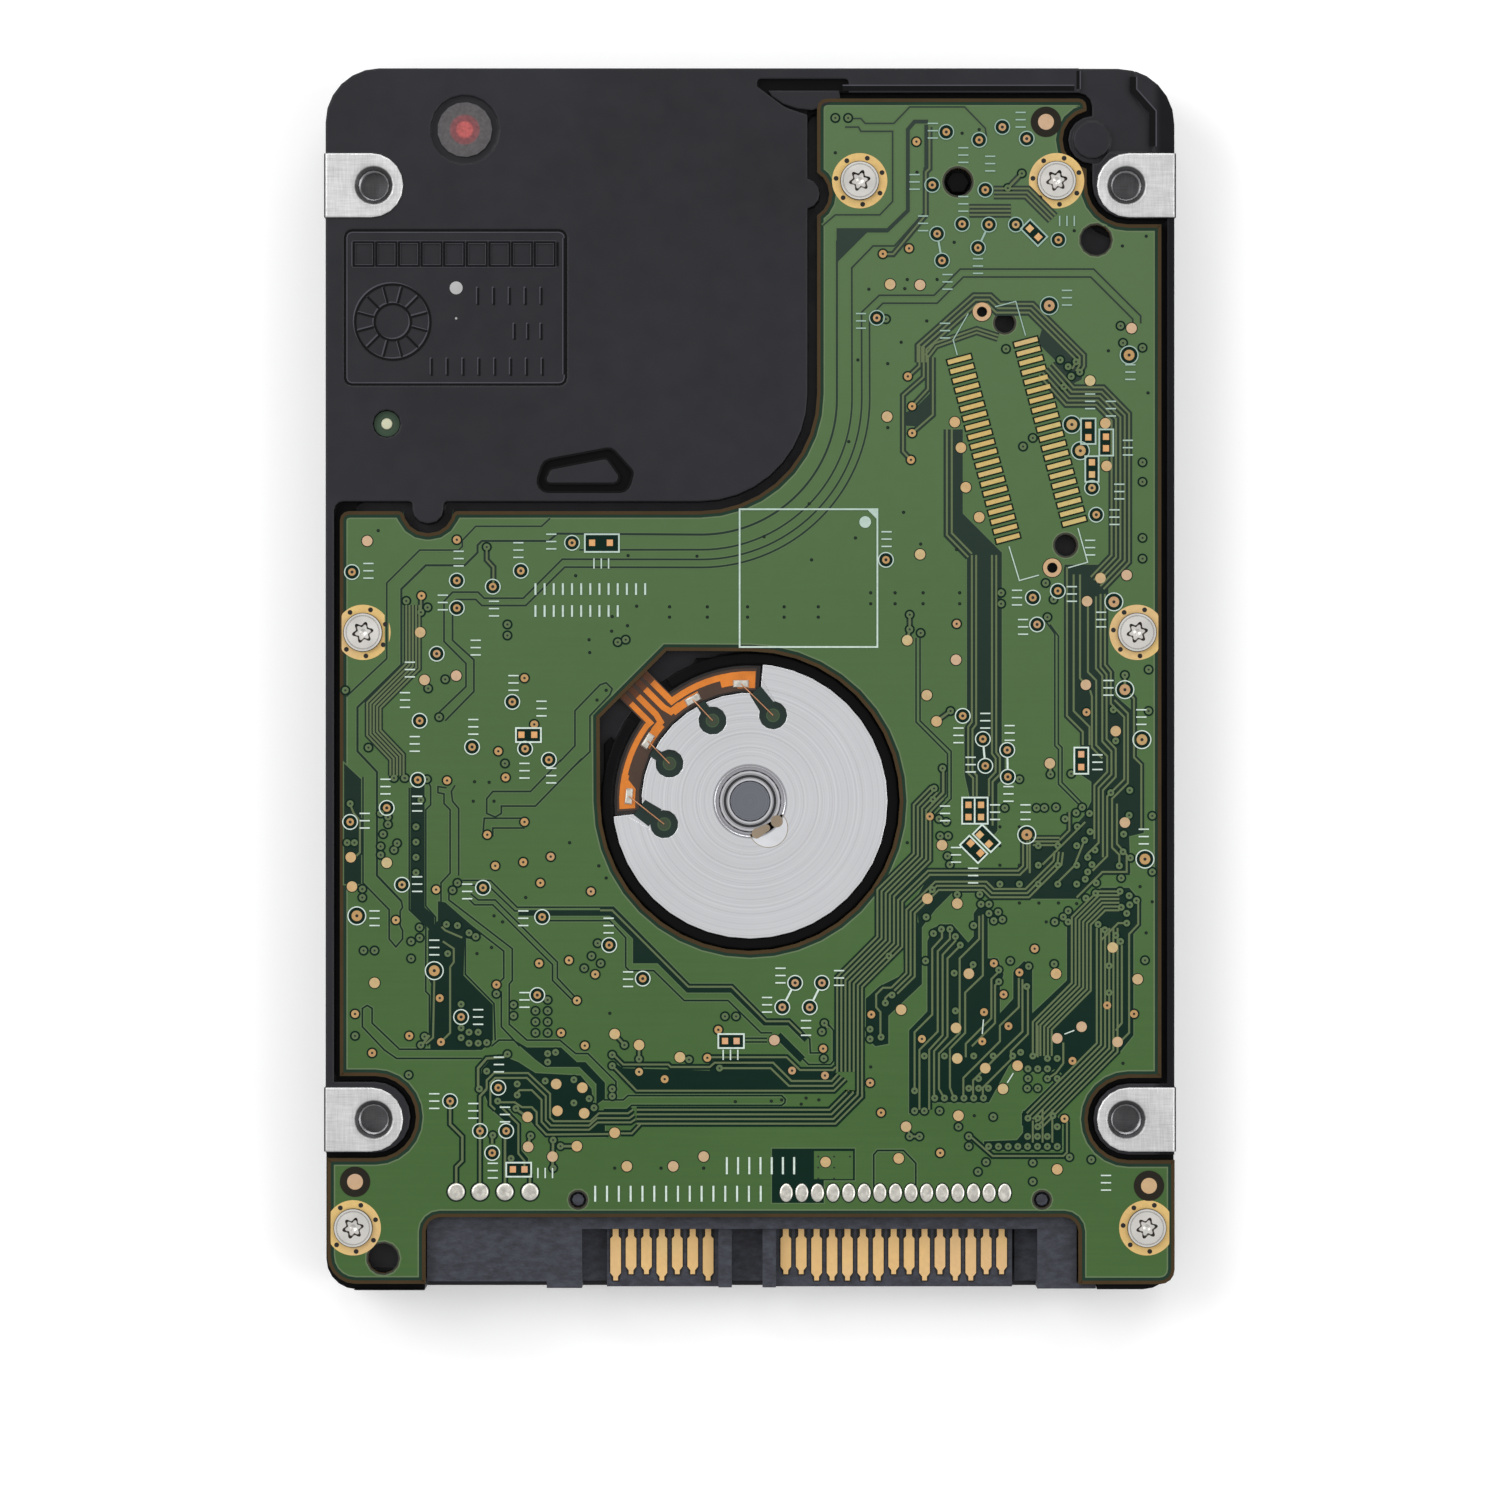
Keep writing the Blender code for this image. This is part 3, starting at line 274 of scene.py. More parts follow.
def coated(name, colour, roughness, grain=6.0, depth=0.004, share=0.12, soften=0.0, metallic=0.0, **sockets):
    """A plain finish with fine grain, slight colour changes and uneven gloss."""
    look = Look(name, colour, roughness, metallic, **sockets)
    look.paint(look.shade(share, look.noise(0.35)))
    look.rough(look.spread(look.noise(1.3), roughness * 0.85, min(1.0, roughness * 1.15)))
    look.bumps(look.noise(grain, 2.0), 0.35, depth, soften)
    return look.material


def turned_metal(name, colour, roughness, centre, scale=9.0, soften=0.0):
    """Metal with concentric tool marks."""
    look = Look(name, colour, roughness, 1.0)
    marks = look.rings(centre, scale)
    look.paint(look.mix(0.5, look.shade(0.07, marks), look.shade(0.06, look.noise(0.12))))
    look.rough(look.spread(marks, roughness * 0.85, roughness * 1.2))
    look.bumps(marks, 0.2, 0.003, soften)
    return look.material


def brushed_metal(name, colour, roughness, stretch=(0.15, 6.0, 6.0), share=0.08, depth=0.004, soften=0.0):
    """Metal with straight fine marks along one axis."""
    look = Look(name, colour, roughness, 1.0)
    marks = look.noise(1.6, 4.0, stretch)
    look.paint(look.shade(share, marks))
    look.rough(look.spread(marks, roughness * 0.8, roughness * 1.25))
    look.bumps(marks, 0.3, depth, soften)
    return look.material


def milled_metal(look, reach):
    """Crossed milling marks, with painted shade in a darker ring round each mounting hole."""
    pale, dull = tone(244, 244, 244), tone(208, 208, 208)
    along, across = look.noise(1.5, 3.0, (0.5, 7.0, 3.0)), look.noise(1.5, 3.0, (7.0, 0.5, 3.0))
    stops = [(0.3, dull), (0.7, pale)]
    metal = look.mix(0.5, look.ramp(along, stops), look.ramp(across, stops))
    # Painted shade in each mounting hole: darker from the bore out to about 1.6 mm from the axis.
    ring = look.ramp(look.spread(reach, 0.0, 1.0, 1.2, 2.0),
                     [(0.0, tone(120, 120, 122)), (0.4, tone(110, 110, 112)), (0.55, tone(236, 236, 236)),
                      (1.0, tone(255, 255, 255))])
    return look.mix(1.0, metal, ring, "MULTIPLY")


def black_casting():
    """Black coat over a die casting, with the bright milled metal of the four mounting pads and their holes.

    The coat has painted shade at the heights of its recesses and along the right rim: it is darker and less
    shiny there.
    """
    look = Look("black_coat", tone(26, 26, 32), 0.4)
    place = look.split(look.place)
    reach = look.mount_distance(place)
    raised = look.spread(place["Z"], 0.0, 1.0, 6.965 * MM, 6.985 * MM)
    bore = look.steps(reach, (("LESS_THAN", MOUNT_BORE),))
    milled = look.joined("MAXIMUM", raised, bore)
    black, white = tone(0, 0, 0), tone(255, 255, 255)
    depth = look.spread(place["Z"], 0.0, 1.0, 5.0 * MM, 7.0 * MM)
    bands = ((0.14, 0.655), (0.695, 0.71), (0.744, 0.757))  # heights of the recesses that get painted shade, as shares of the height from 5 to 7 mm
    edges = ((0.1, 0.665), (0.69, 0.72), (0.737, 0.765))  # where each band has faded out
    stops = [stop for (low, high), (under, over) in zip(bands, edges)
             for stop in ((under, black), (low, white), (high, white), (over, black))]
    # Painted shade: darker in the recesses and along the right rim, only on faces that look up.
    recess_shade = look.ramp(depth, stops)
    rim = look.spread(place["X"], 0.0, 0.75, 33.0 * MM, 33.7 * MM)
    dark = look.joined("MULTIPLY", look.joined("MAXIMUM", recess_shade, rim), look.upward(0.4, 0.6))
    coat = look.mix(dark, look.shade(0.22, look.noise(0.05)), tone(5, 5, 7))
    look.paint(look.mix(milled, coat, milled_metal(look, reach)))
    look.link(milled, look.shader.inputs["Metallic"])
    look.link(look.spread(dark, 0.36, 0.1, 0.0, 1.0), look.shader.inputs["Specular IOR Level"])
    look.rough(look.spread(look.noise(0.5), 0.36, 0.48))
    look.bumps(look.noise(7.0, 2.0), 0.25, 0.006, 0.25)
    return look.material


def laminate():
    """The bare board: dark green on its faces, brown glass fibre where it is cut."""
    look = Look("bare_laminate", tone(18, 46, 32), 0.35, Specular_IOR_Level=0.25)
    normal = look.split(look.node("ShaderNodeNewGeometry").outputs["Normal"])
    upright = look.node("ShaderNodeMath", operation="ABSOLUTE")
    look.link(normal["Z"], upright.inputs[0])
    fibre = look.ramp(look.noise(2.5, 3.0, (1.0, 1.0, 6.0)),
                      [(0.3, tone(66, 46, 18)), (0.7, tone(112, 84, 44))])
    face = look.shade(0.15, look.noise(0.2))
    look.paint(look.mix(look.spread(upright.outputs[0], 0.0, 1.0, 0.4, 0.6), fibre, face))
    look.bumps(look.noise(3.0), 0.2, 0.005)
    return look.material


def solder_mask(name, colour, share=0.1, weave=0.06, shine=0.3, painted_sheen=0.0):
    """Green mask: glossy, with the faint weave of the cloth inside.

    The last argument paints a sheen: it makes the mask paler towards the end of the board away from the plug.
    """
    look = Look(name, colour, 0.34, Specular_IOR_Level=shine)
    cloud = look.shade(share, look.noise(0.045, 3.0))
    threads = look.shade(weave, look.noise(0.9, 2.0, (0.12, 3.2, 1.0)))
    green = look.mix(0.5, cloud, threads)
    # Painted sheen: the mask grows paler towards the end of the board away from the plug.
    if painted_sheen:
        paler = tuple(value + gain for value, gain in zip(colour[:3], (0.034, 0.034, 0.032))) + (1.0,)
        along = look.split(look.place)["Y"]
        green = look.mix(look.spread(along, 0.0, painted_sheen, -0.035, 0.045), green, paler)
    look.paint(green)
    look.rough(look.spread(look.noise(0.8), 0.3, 0.42))
    look.bumps(look.noise(1.4, 3.0, (1.0, 2.4, 1.0)), 0.12, 0.006)
    return look.material


def gold_plate(name, colour=None, roughness=0.42, stain=0.5):
    """Gold plate over nickel, stained where it was probed and heated: khaki, pinkish and orange patches."""
    look = Look(name, colour or tone(206, 176, 128), roughness, 0.55)
    spots = look.ramp(look.noise(0.11, 2.0), [(0.36, tone(206, 196, 142)), (0.46, tone(216, 170, 112)),
                                              (0.54, look.colour), (0.64, tone(214, 176, 158))])
    look.paint(look.mix(stain, look.colour, look.mix(0.2, spots, look.shade(0.15, look.noise(1.8)))))
    look.rough(look.spread(look.noise(3.0), roughness * 0.8, roughness * 1.3))
    look.bumps(look.noise(2.0), 0.1, 0.006)
    return look.material


def solder_metal():
    look = Look("solder_metal", tone(222, 219, 210), 0.34, 1.0)
    look.paint(look.shade(0.16, look.noise(2.2, 4.0)))
    look.rough(look.spread(look.noise(3.0), 0.24, 0.5))
    look.bumps(look.noise(2.6, 4.0), 0.7, 0.05)
    return look.material


def port_film():
    """Frosted film over a round port, with the latch's red hub showing through its middle."""
    look = Look("port_film", tone(92, 88, 88), 0.55)
    reach = look.spread(look.distance(PORT), 0.0, 1.0, 0.0, 2.3)
    glow = look.ramp(reach, [(0.0, tone(188, 88, 86)), (0.26, tone(182, 84, 84)), (0.33, tone(128, 66, 70)),
                             (0.5, tone(124, 70, 74)), (0.56, tone(84, 80, 82)), (1.0, tone(80, 78, 80))])
    grain = look.ramp(look.noise(4.0, 2.0), [(0.3, tone(212, 212, 212)), (0.7, tone(255, 255, 255))])
    look.paint(look.mix(1.0, glow, grain, "MULTIPLY"))
    look.rough(look.spread(look.noise(2.0), 0.48, 0.62))
    look.bumps(look.noise(6.0), 0.4, 0.01)
    return look.material


def connector_plastic():
    """Glass-filled moulding: dark grey, with a pale mottled skin."""
    look = Look("connector_plastic", tone(44, 45, 53), 0.5, Specular_IOR_Level=0.4)
    speckle = look.ramp(look.noise(1.6, 5.0, (0.6, 1.2, 1.0), 0.75),
                        [(0.36, tone(36, 37, 45)), (0.66, tone(66, 69, 80))])
    look.paint(look.mix(0.75, look.shade(0.1, look.noise(0.1)), speckle))
    look.rough(look.spread(look.noise(2.0), 0.42, 0.6))
    look.bumps(look.noise(3.0, 4.0), 0.4, 0.012, 0.08)
    return look.material


def flex_film():
    look = Look("flex_film", tone(209, 118, 28), 0.3, Coat_Weight=0.2)
    look.paint(look.mix(0.6, look.shade(0.16, look.noise(0.3)), look.shade(0.12, look.noise(1.5))))
    look.rough(look.spread(look.noise(1.2), 0.24, 0.4))
    look.bumps(look.noise(0.9), 0.3, 0.02)
    return look.material


def plated_cover():
    """Pressed aluminium sheet with a fine rolled grain."""
    look = Look("plated_cover", tone(196, 197, 200), 0.36, 1.0)
    roll = look.noise(1.2, 4.0, (6.0, 0.12, 6.0))
    look.paint(look.mix(0.6, look.shade(0.08, roll), look.shade(0.06, look.noise(0.08))))
    look.rough(look.spread(roll, 0.3, 0.46))
    look.bumps(roll, 0.25, 0.004, 0.25)
    return look.material


def label_stock():
    look = Look("label_stock", tone(214, 216, 219), 0.45)
    look.paint(look.shade(0.03, look.noise(0.3)))
    look.rough(look.spread(look.noise(2.0), 0.4, 0.52))
    look.bumps(look.noise(3.5), 0.15, 0.004)
    return look.material


def silk_ink():
    """Printed ink, thinner and duller towards the board's far end."""
    look = Look("silkscreen_ink", tone(198, 214, 204), 0.6)
    thin = look.spread(look.split(look.place)["Y"], 0.0, 1.0, -0.005, 0.03)
    look.paint(look.mix(thin, look.shade(0.12, look.noise(3.5, 4.0)), tone(140, 168, 156)))
    look.rough(look.spread(look.noise(4.0), 0.5, 0.7))
    look.bumps(look.noise(6.0), 0.4, 0.01)
    return look.material


# ---------------------------------------------------------------- flat shapes, in millimetres

def polar(centre, radius, angle):
    turn = math.radians(angle)
    return (centre[0] + radius * math.cos(turn), centre[1] + radius * math.sin(turn))


def arc(centre, radius, start, end, step=6.0):
    count = max(2, math.ceil(abs(end - start) / step))
    return [polar(centre, radius, start + (end - start) * index / count) for index in range(count + 1)]


def circle(centre, radius, count=24):
    return [polar(centre, radius, 360.0 * index / count) for index in range(count)]


def rectangle(low, high):
    return [(low[0], low[1]), (high[0], low[1]), (high[0], high[1]), (low[0], high[1])]


def turned_box(centre, length, width, angle):
    along = np.array(polar((0.0, 0.0), length / 2.0, angle))
    across = np.array(polar((0.0, 0.0), width / 2.0, angle + 90.0))
    middle = np.array(centre)
    return [tuple(middle + along * a + across * b) for a, b in ((-1, -1), (1, -1), (1, 1), (-1, 1))]


def beside(points, distance, closed=False):
    """The line that runs beside a line at a distance, to its left, with mitred corners."""
    path = np.array(points, float)
    steps = np.roll(path, -1, axis=0) - path
    if not closed:
        steps[-1] = steps[-2]
    steps /= np.linalg.norm(steps, axis=1)[:, None]
    before = np.roll(steps, 1, axis=0)
    if not closed:
        before[0] = steps[0]
    left = np.stack([-steps[:, 1], steps[:, 0]], axis=1)
    last = np.stack([-before[:, 1], before[:, 0]], axis=1)
    mitre = left + last
    mitre /= np.maximum((mitre * left).sum(axis=1), 0.25)[:, None]
    return [tuple(p) for p in path + mitre * distance]


def facing_up(outline):
    """The outline, turned to run anticlockwise."""
    area = sum(x0 * y1 - x1 * y0 for (x0, y0), (x1, y1) in zip(outline, outline[1:] + outline[:1]))
    return outline if area > 0.0 else outline[::-1]


def placed(name, data):
    """A new object in the scene."""
    made = bpy.data.objects.new(name, data)
    bpy.context.scene.collection.objects.link(made)
    return made


def cleaned(mesh, merge=0.0):
    """Joins corners of the mesh that lie within a distance of each other, and turns its faces outwards."""
    work = bmesh.new()
    work.from_mesh(mesh)
    if merge:
        bmesh.ops.remove_doubles(work, verts=work.verts, dist=merge)
    bmesh.ops.recalc_face_normals(work, faces=work.faces)
    work.to_mesh(mesh)
    work.free()


def build_all(*sheets):
    for sheet in sheets:
        sheet.build()


class Sheet:
    """Gathers flat shapes of one material and makes them one object of thin closed solids."""

    def __init__(self, name, material, low, high, slot=None):
        self.name, self.material, self.slot = name, material, slot
        self.low, self.high = low, high
        self.points, self.faces, self.made = [], [], 0

    def lifted(self):
        """How much higher this shape stands than the last, so that shapes that cross don't share a face."""
        self.made += 1
        return self.made * 0.618 % 1.0 * LIFT

    def skin(self, rings, closed=False):
        """Joins rings of points, each with its own height, and caps both ends."""
        count = len(rings[0][0])
        start = len(self.points)
        for outline, height in rings:
            self.points += [(x, y, height) for x, y in outline]
        pairs = list(zip(range(len(rings)), range(1, len(rings))))
        if closed:
            pairs.append((len(rings) - 1, 0))
        for lower, upper in pairs:
            for index in range(count):
                following = (index + 1) % count
                self.faces.append((start + lower * count + index, start + lower * count + following,
                                   start + upper * count + following, start + upper * count + index))
        if not closed:
            self.faces.append(tuple(start + index for index in reversed(range(count))))
            self.faces.append(tuple(start + (len(rings) - 1) * count + index for index in range(count)))

    def plate(self, outline):
        outline = facing_up(list(outline))
        self.skin([(outline, self.low), (outline, self.high + self.lifted())])

    def disc(self, centre, radius, count=20):
        self.plate(circle(centre, radius, count))

    def ring(self, centre, inner, outer, count=24):
        near, far = circle(centre, inner, count), circle(centre, outer, count)
        high = self.high + self.lifted()
        self.skin([(far, self.low), (far, high), (near, high), (near, self.low)], closed=True)

    def line(self, points, width):
        """A line of even width with mitred corners."""
        left, right = beside(points, width / 2.0), beside(points, -width / 2.0)
        start, count = len(self.points), len(left)
        for height in (self.low, self.high + self.lifted()):
            self.points += [(x, y, height) for x, y in left] + [(x, y, height) for x, y in right]
        for index in range(count - 1):
            a, b = start + index, start + index + 1
            c, d = a + count, b + count
            up = 2 * count
            self.faces += [(a, b, d, c), (c + up, d + up, b + up, a + up)]
            self.faces += [(b, a, a + up, b + up), (c, d, d + up, c + up)]
        for index in (0, count - 1):
            a, c = start + index, start + count + index
            face = (a, c, c + 2 * count, a + 2 * count)
            self.faces.append(face if index == 0 else face[::-1])

    def loop(self, outline, width):
        """A closed line of even width."""
        near, far = beside(outline, width / 2.0, True), beside(outline, -width / 2.0, True)
        high = self.high + self.lifted()
        self.skin([(far, self.low), (far, high), (near, high), (near, self.low)], closed=True)

    def build(self, body="base", smooth=False):
        mesh = bpy.data.meshes.new(self.name)
        mesh.from_pydata([(x * MM, y * MM, z * MM) for x, y, z in self.points], [], self.faces)
        mesh.materials.append(self.material)
        cleaned(mesh)
        if smooth:
            mesh.shade_smooth()
            mesh.set_sharp_from_angle(angle=math.radians(35.0))
        piece = placed(self.name, mesh)
        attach(piece, body)
        return piece


def filled(name, material, loops, low, high, body="base"):
    """A plate with holes: the outlines inside the first are cut out of it."""
    curve = bpy.data.curves.new(name, "CURVE")
    curve.dimensions = "2D"
    curve.fill_mode = "BOTH"
    curve.extrude = (high - low) / 2.0 * MM
    for outline in loops:
        spline = curve.splines.new("POLY")
        spline.points.add(len(outline) - 1)
        for point, (x, y) in zip(spline.points, outline):
            point.co = (x * MM, y * MM, 0.0, 1.0)
        spline.use_cyclic_u = True
    flat = placed(name + "_outline", curve)
    flat.location.z = (low + high) / 2.0 * MM
    bpy.context.view_layer.update()
    mesh = bpy.data.meshes.new_from_object(flat.evaluated_get(bpy.context.evaluated_depsgraph_get()))
    mesh.transform(flat.matrix_world)
    bpy.data.objects.remove(flat)
    bpy.data.curves.remove(curve)
    cleaned(mesh, 1e-7)
    mesh.materials.clear()
    mesh.materials.append(material)
    piece = placed(name, mesh)
    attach(piece, body)
    return piece


def edge_loops(node, height):
    """The outlines of a CAD node's flat face at a height, in millimetres, the outer one first."""
    mesh = NODES[node].data
    work = bmesh.new()
    work.from_mesh(mesh)
    bmesh.ops.remove_doubles(work, verts=work.verts, dist=1e-6)
    flat = [face for face in work.faces if all(abs(v.co.z / MM - height) < 0.001 for v in face.verts)]
    members = set(flat)
    onward = {}
    for face in flat:  # in the mesh's own order, so that every run starts each outline at the same corner
        for corner in face.loops:
            if not any(other in members for other in corner.edge.link_faces if other is not face):
                onward[corner.vert.index] = corner.link_loop_next.vert.index
    place = {v.index: (v.co.x / MM, v.co.y / MM) for v in work.verts}
    work.free()
    loops = []
    while onward:
        first, following = onward.popitem()
        outline = [place[first]]
        while following != first:
            outline.append(place[following])
            following = onward.pop(following)
        loops.append(outline)
    return sorted(loops, key=lambda outline: -max(x for x, _ in outline) + min(x for x, _ in outline))


def inset(outline, distance, step=0.25):
    """An outline moved to its left by a distance, without the loops that tight corners would leave."""
    corners = np.array(outline, float)
    dense = []
    for here, following in zip(corners, np.roll(corners, -1, axis=0)):
        count = max(1, math.ceil(np.linalg.norm(following - here) / step))
        dense += [here + (following - here) * index / count for index in range(count)]
    dense = np.array(dense)
    moved = np.array(beside(dense, distance, True))
    gaps = np.linalg.norm(moved[:, None, :] - dense[None, :, :], axis=2).min(axis=1)
    kept = moved[gaps > abs(distance) * 0.985 - step * 0.02]
    return [tuple(p) for p in kept]


# ---------------------------------------------------------------- the board's printed layers

# Every list below is in millimetres. A line of copper is a list of corners, and a bundle is
# (number of lines, distance between them, corners of the first), the others following to its left.

ARC_CENTRE = (-4.0, 23.0)
# Radius and width of the concentric slits round the corner, with the lines that go on from their ends.
ARCS = [
    (11.13, 0.17, [(7.13, 36.0)], [(-15.8, 11.95), (-16.5, 11.35), (-22.0, 11.35), (-22.35, 11.0),
     (-22.35, 10.4), (-23.4, 9.35), (-26.6, 9.35), (-28.6, 7.4), (-28.6, 1.2), (-32.2, -2.3), (-32.2, -5.9),
     (-30.6, -7.6), (-30.6, -16.1), (-28.6, -18.2)]),
    (12.37, 0.14, [(8.35, 33.75), (10.1, 35.55), (11.85, 35.55), (14.3, 38.3), (14.3, 42.0)],
     [(-14.0, 10.62)]),
    (13.17, 0.14, [(9.15, 30.1), (10.6, 31.5), (15.1, 31.5), (17.25, 33.65), (28.2, 33.65), (32.05, 29.8),
     (32.05, 29.2)], [(-15.4, 9.85), (-18.6, 6.65), (-21.8, 6.65), (-22.3, 7.15), (-24.4, 7.15),
     (-25.1, 6.4), (-25.1, 3.1), (-23.3, 1.3), (-23.3, -0.6), (-25.7, -2.9)]),
    (13.82, 0.14, [(9.8, 29.75), (10.9, 30.85), (15.35, 30.85), (17.5, 33.0), (27.95, 33.0), (31.4, 29.55),
     (31.4, 28.7)], [(-15.2, 9.2), (-18.4, 6.05), (-22.0, 6.05), (-22.5, 6.55), (-24.1, 6.55), (-24.4, 6.2),
     (-24.4, 3.2), (-22.65, 1.6), (-22.65, -1.0), (-25.0, -3.4)]),
]

SLITS = [  # narrow gaps in the copper
    [(-15.6, -6.76), (-14.36, -5.45), (-14.36, -2.58), (-12.3, -0.45), (-11.8, -0.28), (-11.3, -0.78),
     (-11.5, -1.27), (-13.13, -2.99), (-13.13, -5.94), (-14.7, -7.4)],
    [(8.05, 46.0), (9.1, 46.0), (9.45, 45.6), (11.8, 45.6), (13.1, 46.95), (17.6, 46.95), (19.3, 45.2),
     (19.4, 44.5)],
    [(7.8, 45.3), (8.9, 45.3), (9.1, 44.95), (11.7, 44.95), (11.7, 39.2), (10.65, 38.1), (7.0, 38.1),
     (5.95, 37.2)],
    [(-16.4, 13.2), (-17.1, 12.55), (-22.5, 12.55), (-23.6, 11.4), (-23.6, 10.9), (-23.9, 10.6),
     (-27.1, 10.6), (-29.8, 7.9), (-29.8, 1.7), (-33.1, -1.4)],
    [(10.15, -42.0), (10.15, -39.0), (10.45, -38.65), (12.6, -38.65), (13.6, -39.7), (13.6, -41.7)],
    [(-28.6, -18.2), (-28.5, -18.7), (-28.7, -19.0), (-28.7, -20.2), (-28.5, -20.6), (-28.5, -21.3),
     (-29.05, -21.95), (-29.6, -21.3), (-29.6, -18.9), (-31.75, -16.7), (-31.75, -8.0)],
    [(-27.95, -8.9), (-27.95, -18.9), (-26.6, -20.2), (-26.6, -25.6), (-26.3, -25.9), (-26.3, -29.2)],
    [(-26.4, -8.4), (-26.2, -8.8), (-26.2, -10.3), (-26.6, -10.7), (-26.6, -18.6), (-25.8, -19.5),
     (-25.8, -20.4)],
    [(-24.2, -8.7), (-24.5, -9.2), (-24.4, -10.0), (-23.9, -10.6), (-23.9, -16.1)],
    [(-24.9, -8.9), (-25.6, -8.8), (-25.6, -9.3), (-25.1, -9.4), (-25.1, -10.2), (-24.6, -10.7),
     (-24.6, -15.9), (-25.35, -16.7), (-25.35, -18.3), (-20.2, -22.3), (-20.2, -24.5), (-20.6, -24.9)],
    [(-23.6, -16.5), (-21.3, -16.5), (-19.1, -18.7), (-11.2, -18.7), (-4.95, -25.05), (-1.45, -25.05),
     (1.45, -27.95), (3.3, -27.95), (4.9, -29.5), (4.95, -30.65), (6.1, -30.65)],
    [(-22.9, -16.9), (-21.5, -16.9), (-19.3, -19.0), (-11.5, -19.0)],
    [(-16.6, -19.8), (-11.5, -19.8), (-10.2, -21.2), (-10.2, -23.6), (-9.9, -23.9), (-7.9, -23.9),
     (-5.4, -26.35), (-1.8, -26.35), (0.9, -29.0), (1.8, -29.0)],
    [(-0.5, -29.45), (1.4, -29.45)],
    [(-0.5, -29.75), (1.4, -29.75)],
    [(-12.0, -34.5), (-10.4, -34.5), (-10.0, -34.15), (2.6, -34.15), (2.9, -34.45), (2.85, -34.75),
     (2.6, -34.95), (-9.7, -34.95), (-10.1, -35.3), (-12.0, -35.3)],
    [(6.35, -28.2), (6.85, -28.8), (6.85, -31.3), (6.6, -31.6), (4.8, -31.6), (2.6, -29.4)],
    [(13.62, 3.4), (13.62, -3.5), (16.2, -6.1), (16.2, -9.6), (15.3, -10.5)],
    [(13.95, 3.4), (13.95, -3.4), (16.5, -5.9), (16.5, -9.8), (15.0, -11.3)],
    [(24.3, 4.7), (25.0, 3.75), (25.0, -5.45), (25.3, -5.75), (25.3, -8.6), (27.0, -10.3)],
    [(24.6, 4.5), (25.3, 3.55), (25.3, -5.3), (25.6, -5.6), (25.6, -8.45), (27.2, -10.1)],
    [(-30.0, -30.4), (-29.0, -31.1), (-22.0, -31.1)],
    [(-28.8, -30.35), (-22.4, -30.35)],
    [(-21.2, -30.1), (-20.6, -29.6), (-19.4, -29.6)],
    [(-15.6, -29.6), (-14.3, -30.7), (-13.3, -30.7), (-11.0, -33.0), (-11.0, -34.4)],
    [(-22.9, -17.6), (-22.3, -18.1), (-20.9, -18.1), (-15.8, -23.2), (-15.8, -24.5), (-14.4, -26.0)],
    [(-23.2, -17.9), (-22.6, -18.5), (-21.1, -18.5), (-16.2, -23.4), (-16.2, -24.7), (-14.6, -26.3)],
    [(-24.7, -17.6), (-24.7, -18.1), (-19.5, -22.1), (-19.5, -24.7), (-19.75, -25.0), (-19.75, -28.3),
     (-18.3, -29.6), (-15.6, -29.6)],
    [(-20.4, -25.6), (-20.4, -28.5), (-18.9, -30.1)],
    [(-13.8, -6.5), (-17.6, -10.4), (-20.4, -10.4), (-20.4, -11.0), (-20.9, -11.3), (-21.6, -11.0),
     (-21.6, -9.8), (-21.1, -9.2), (-18.0, -9.2), (-15.5, -6.6)],
    [(-18.5, -11.4), (-21.8, -11.4), (-21.9, -12.7)],
    [(-18.5, -12.2), (-21.1, -12.2), (-21.1, -12.9)],
    [(-23.35, -21.2), (-23.35, -24.2), (-21.0, -26.6), (-20.9, -29.6)],
    [(-28.8, -30.3), (-31.0, -28.2), (-31.0, -27.0), (-31.4, -26.75), (-31.8, -27.0), (-31.8, -28.5),
     (-30.0, -30.4)],
]
WIDE_SLITS = [  # width, corners
    (0.32, [(14.6, 45.75), (13.5, 45.75), (12.95, 45.1), (12.95, 38.45), (11.3, 36.85), (7.3, 36.85)]),
    (0.3, [(14.45, 45.5), (14.45, 41.7)]),
    (0.4, [(-19.0, -19.2), (-11.4, -19.2), (-5.1, -25.5), (-1.5, -25.5), (1.2, -28.2), (3.2, -28.2),
     (4.6, -29.6)]),
    (0.6, [(2.3, -29.2), (4.3, -31.2)]),
]

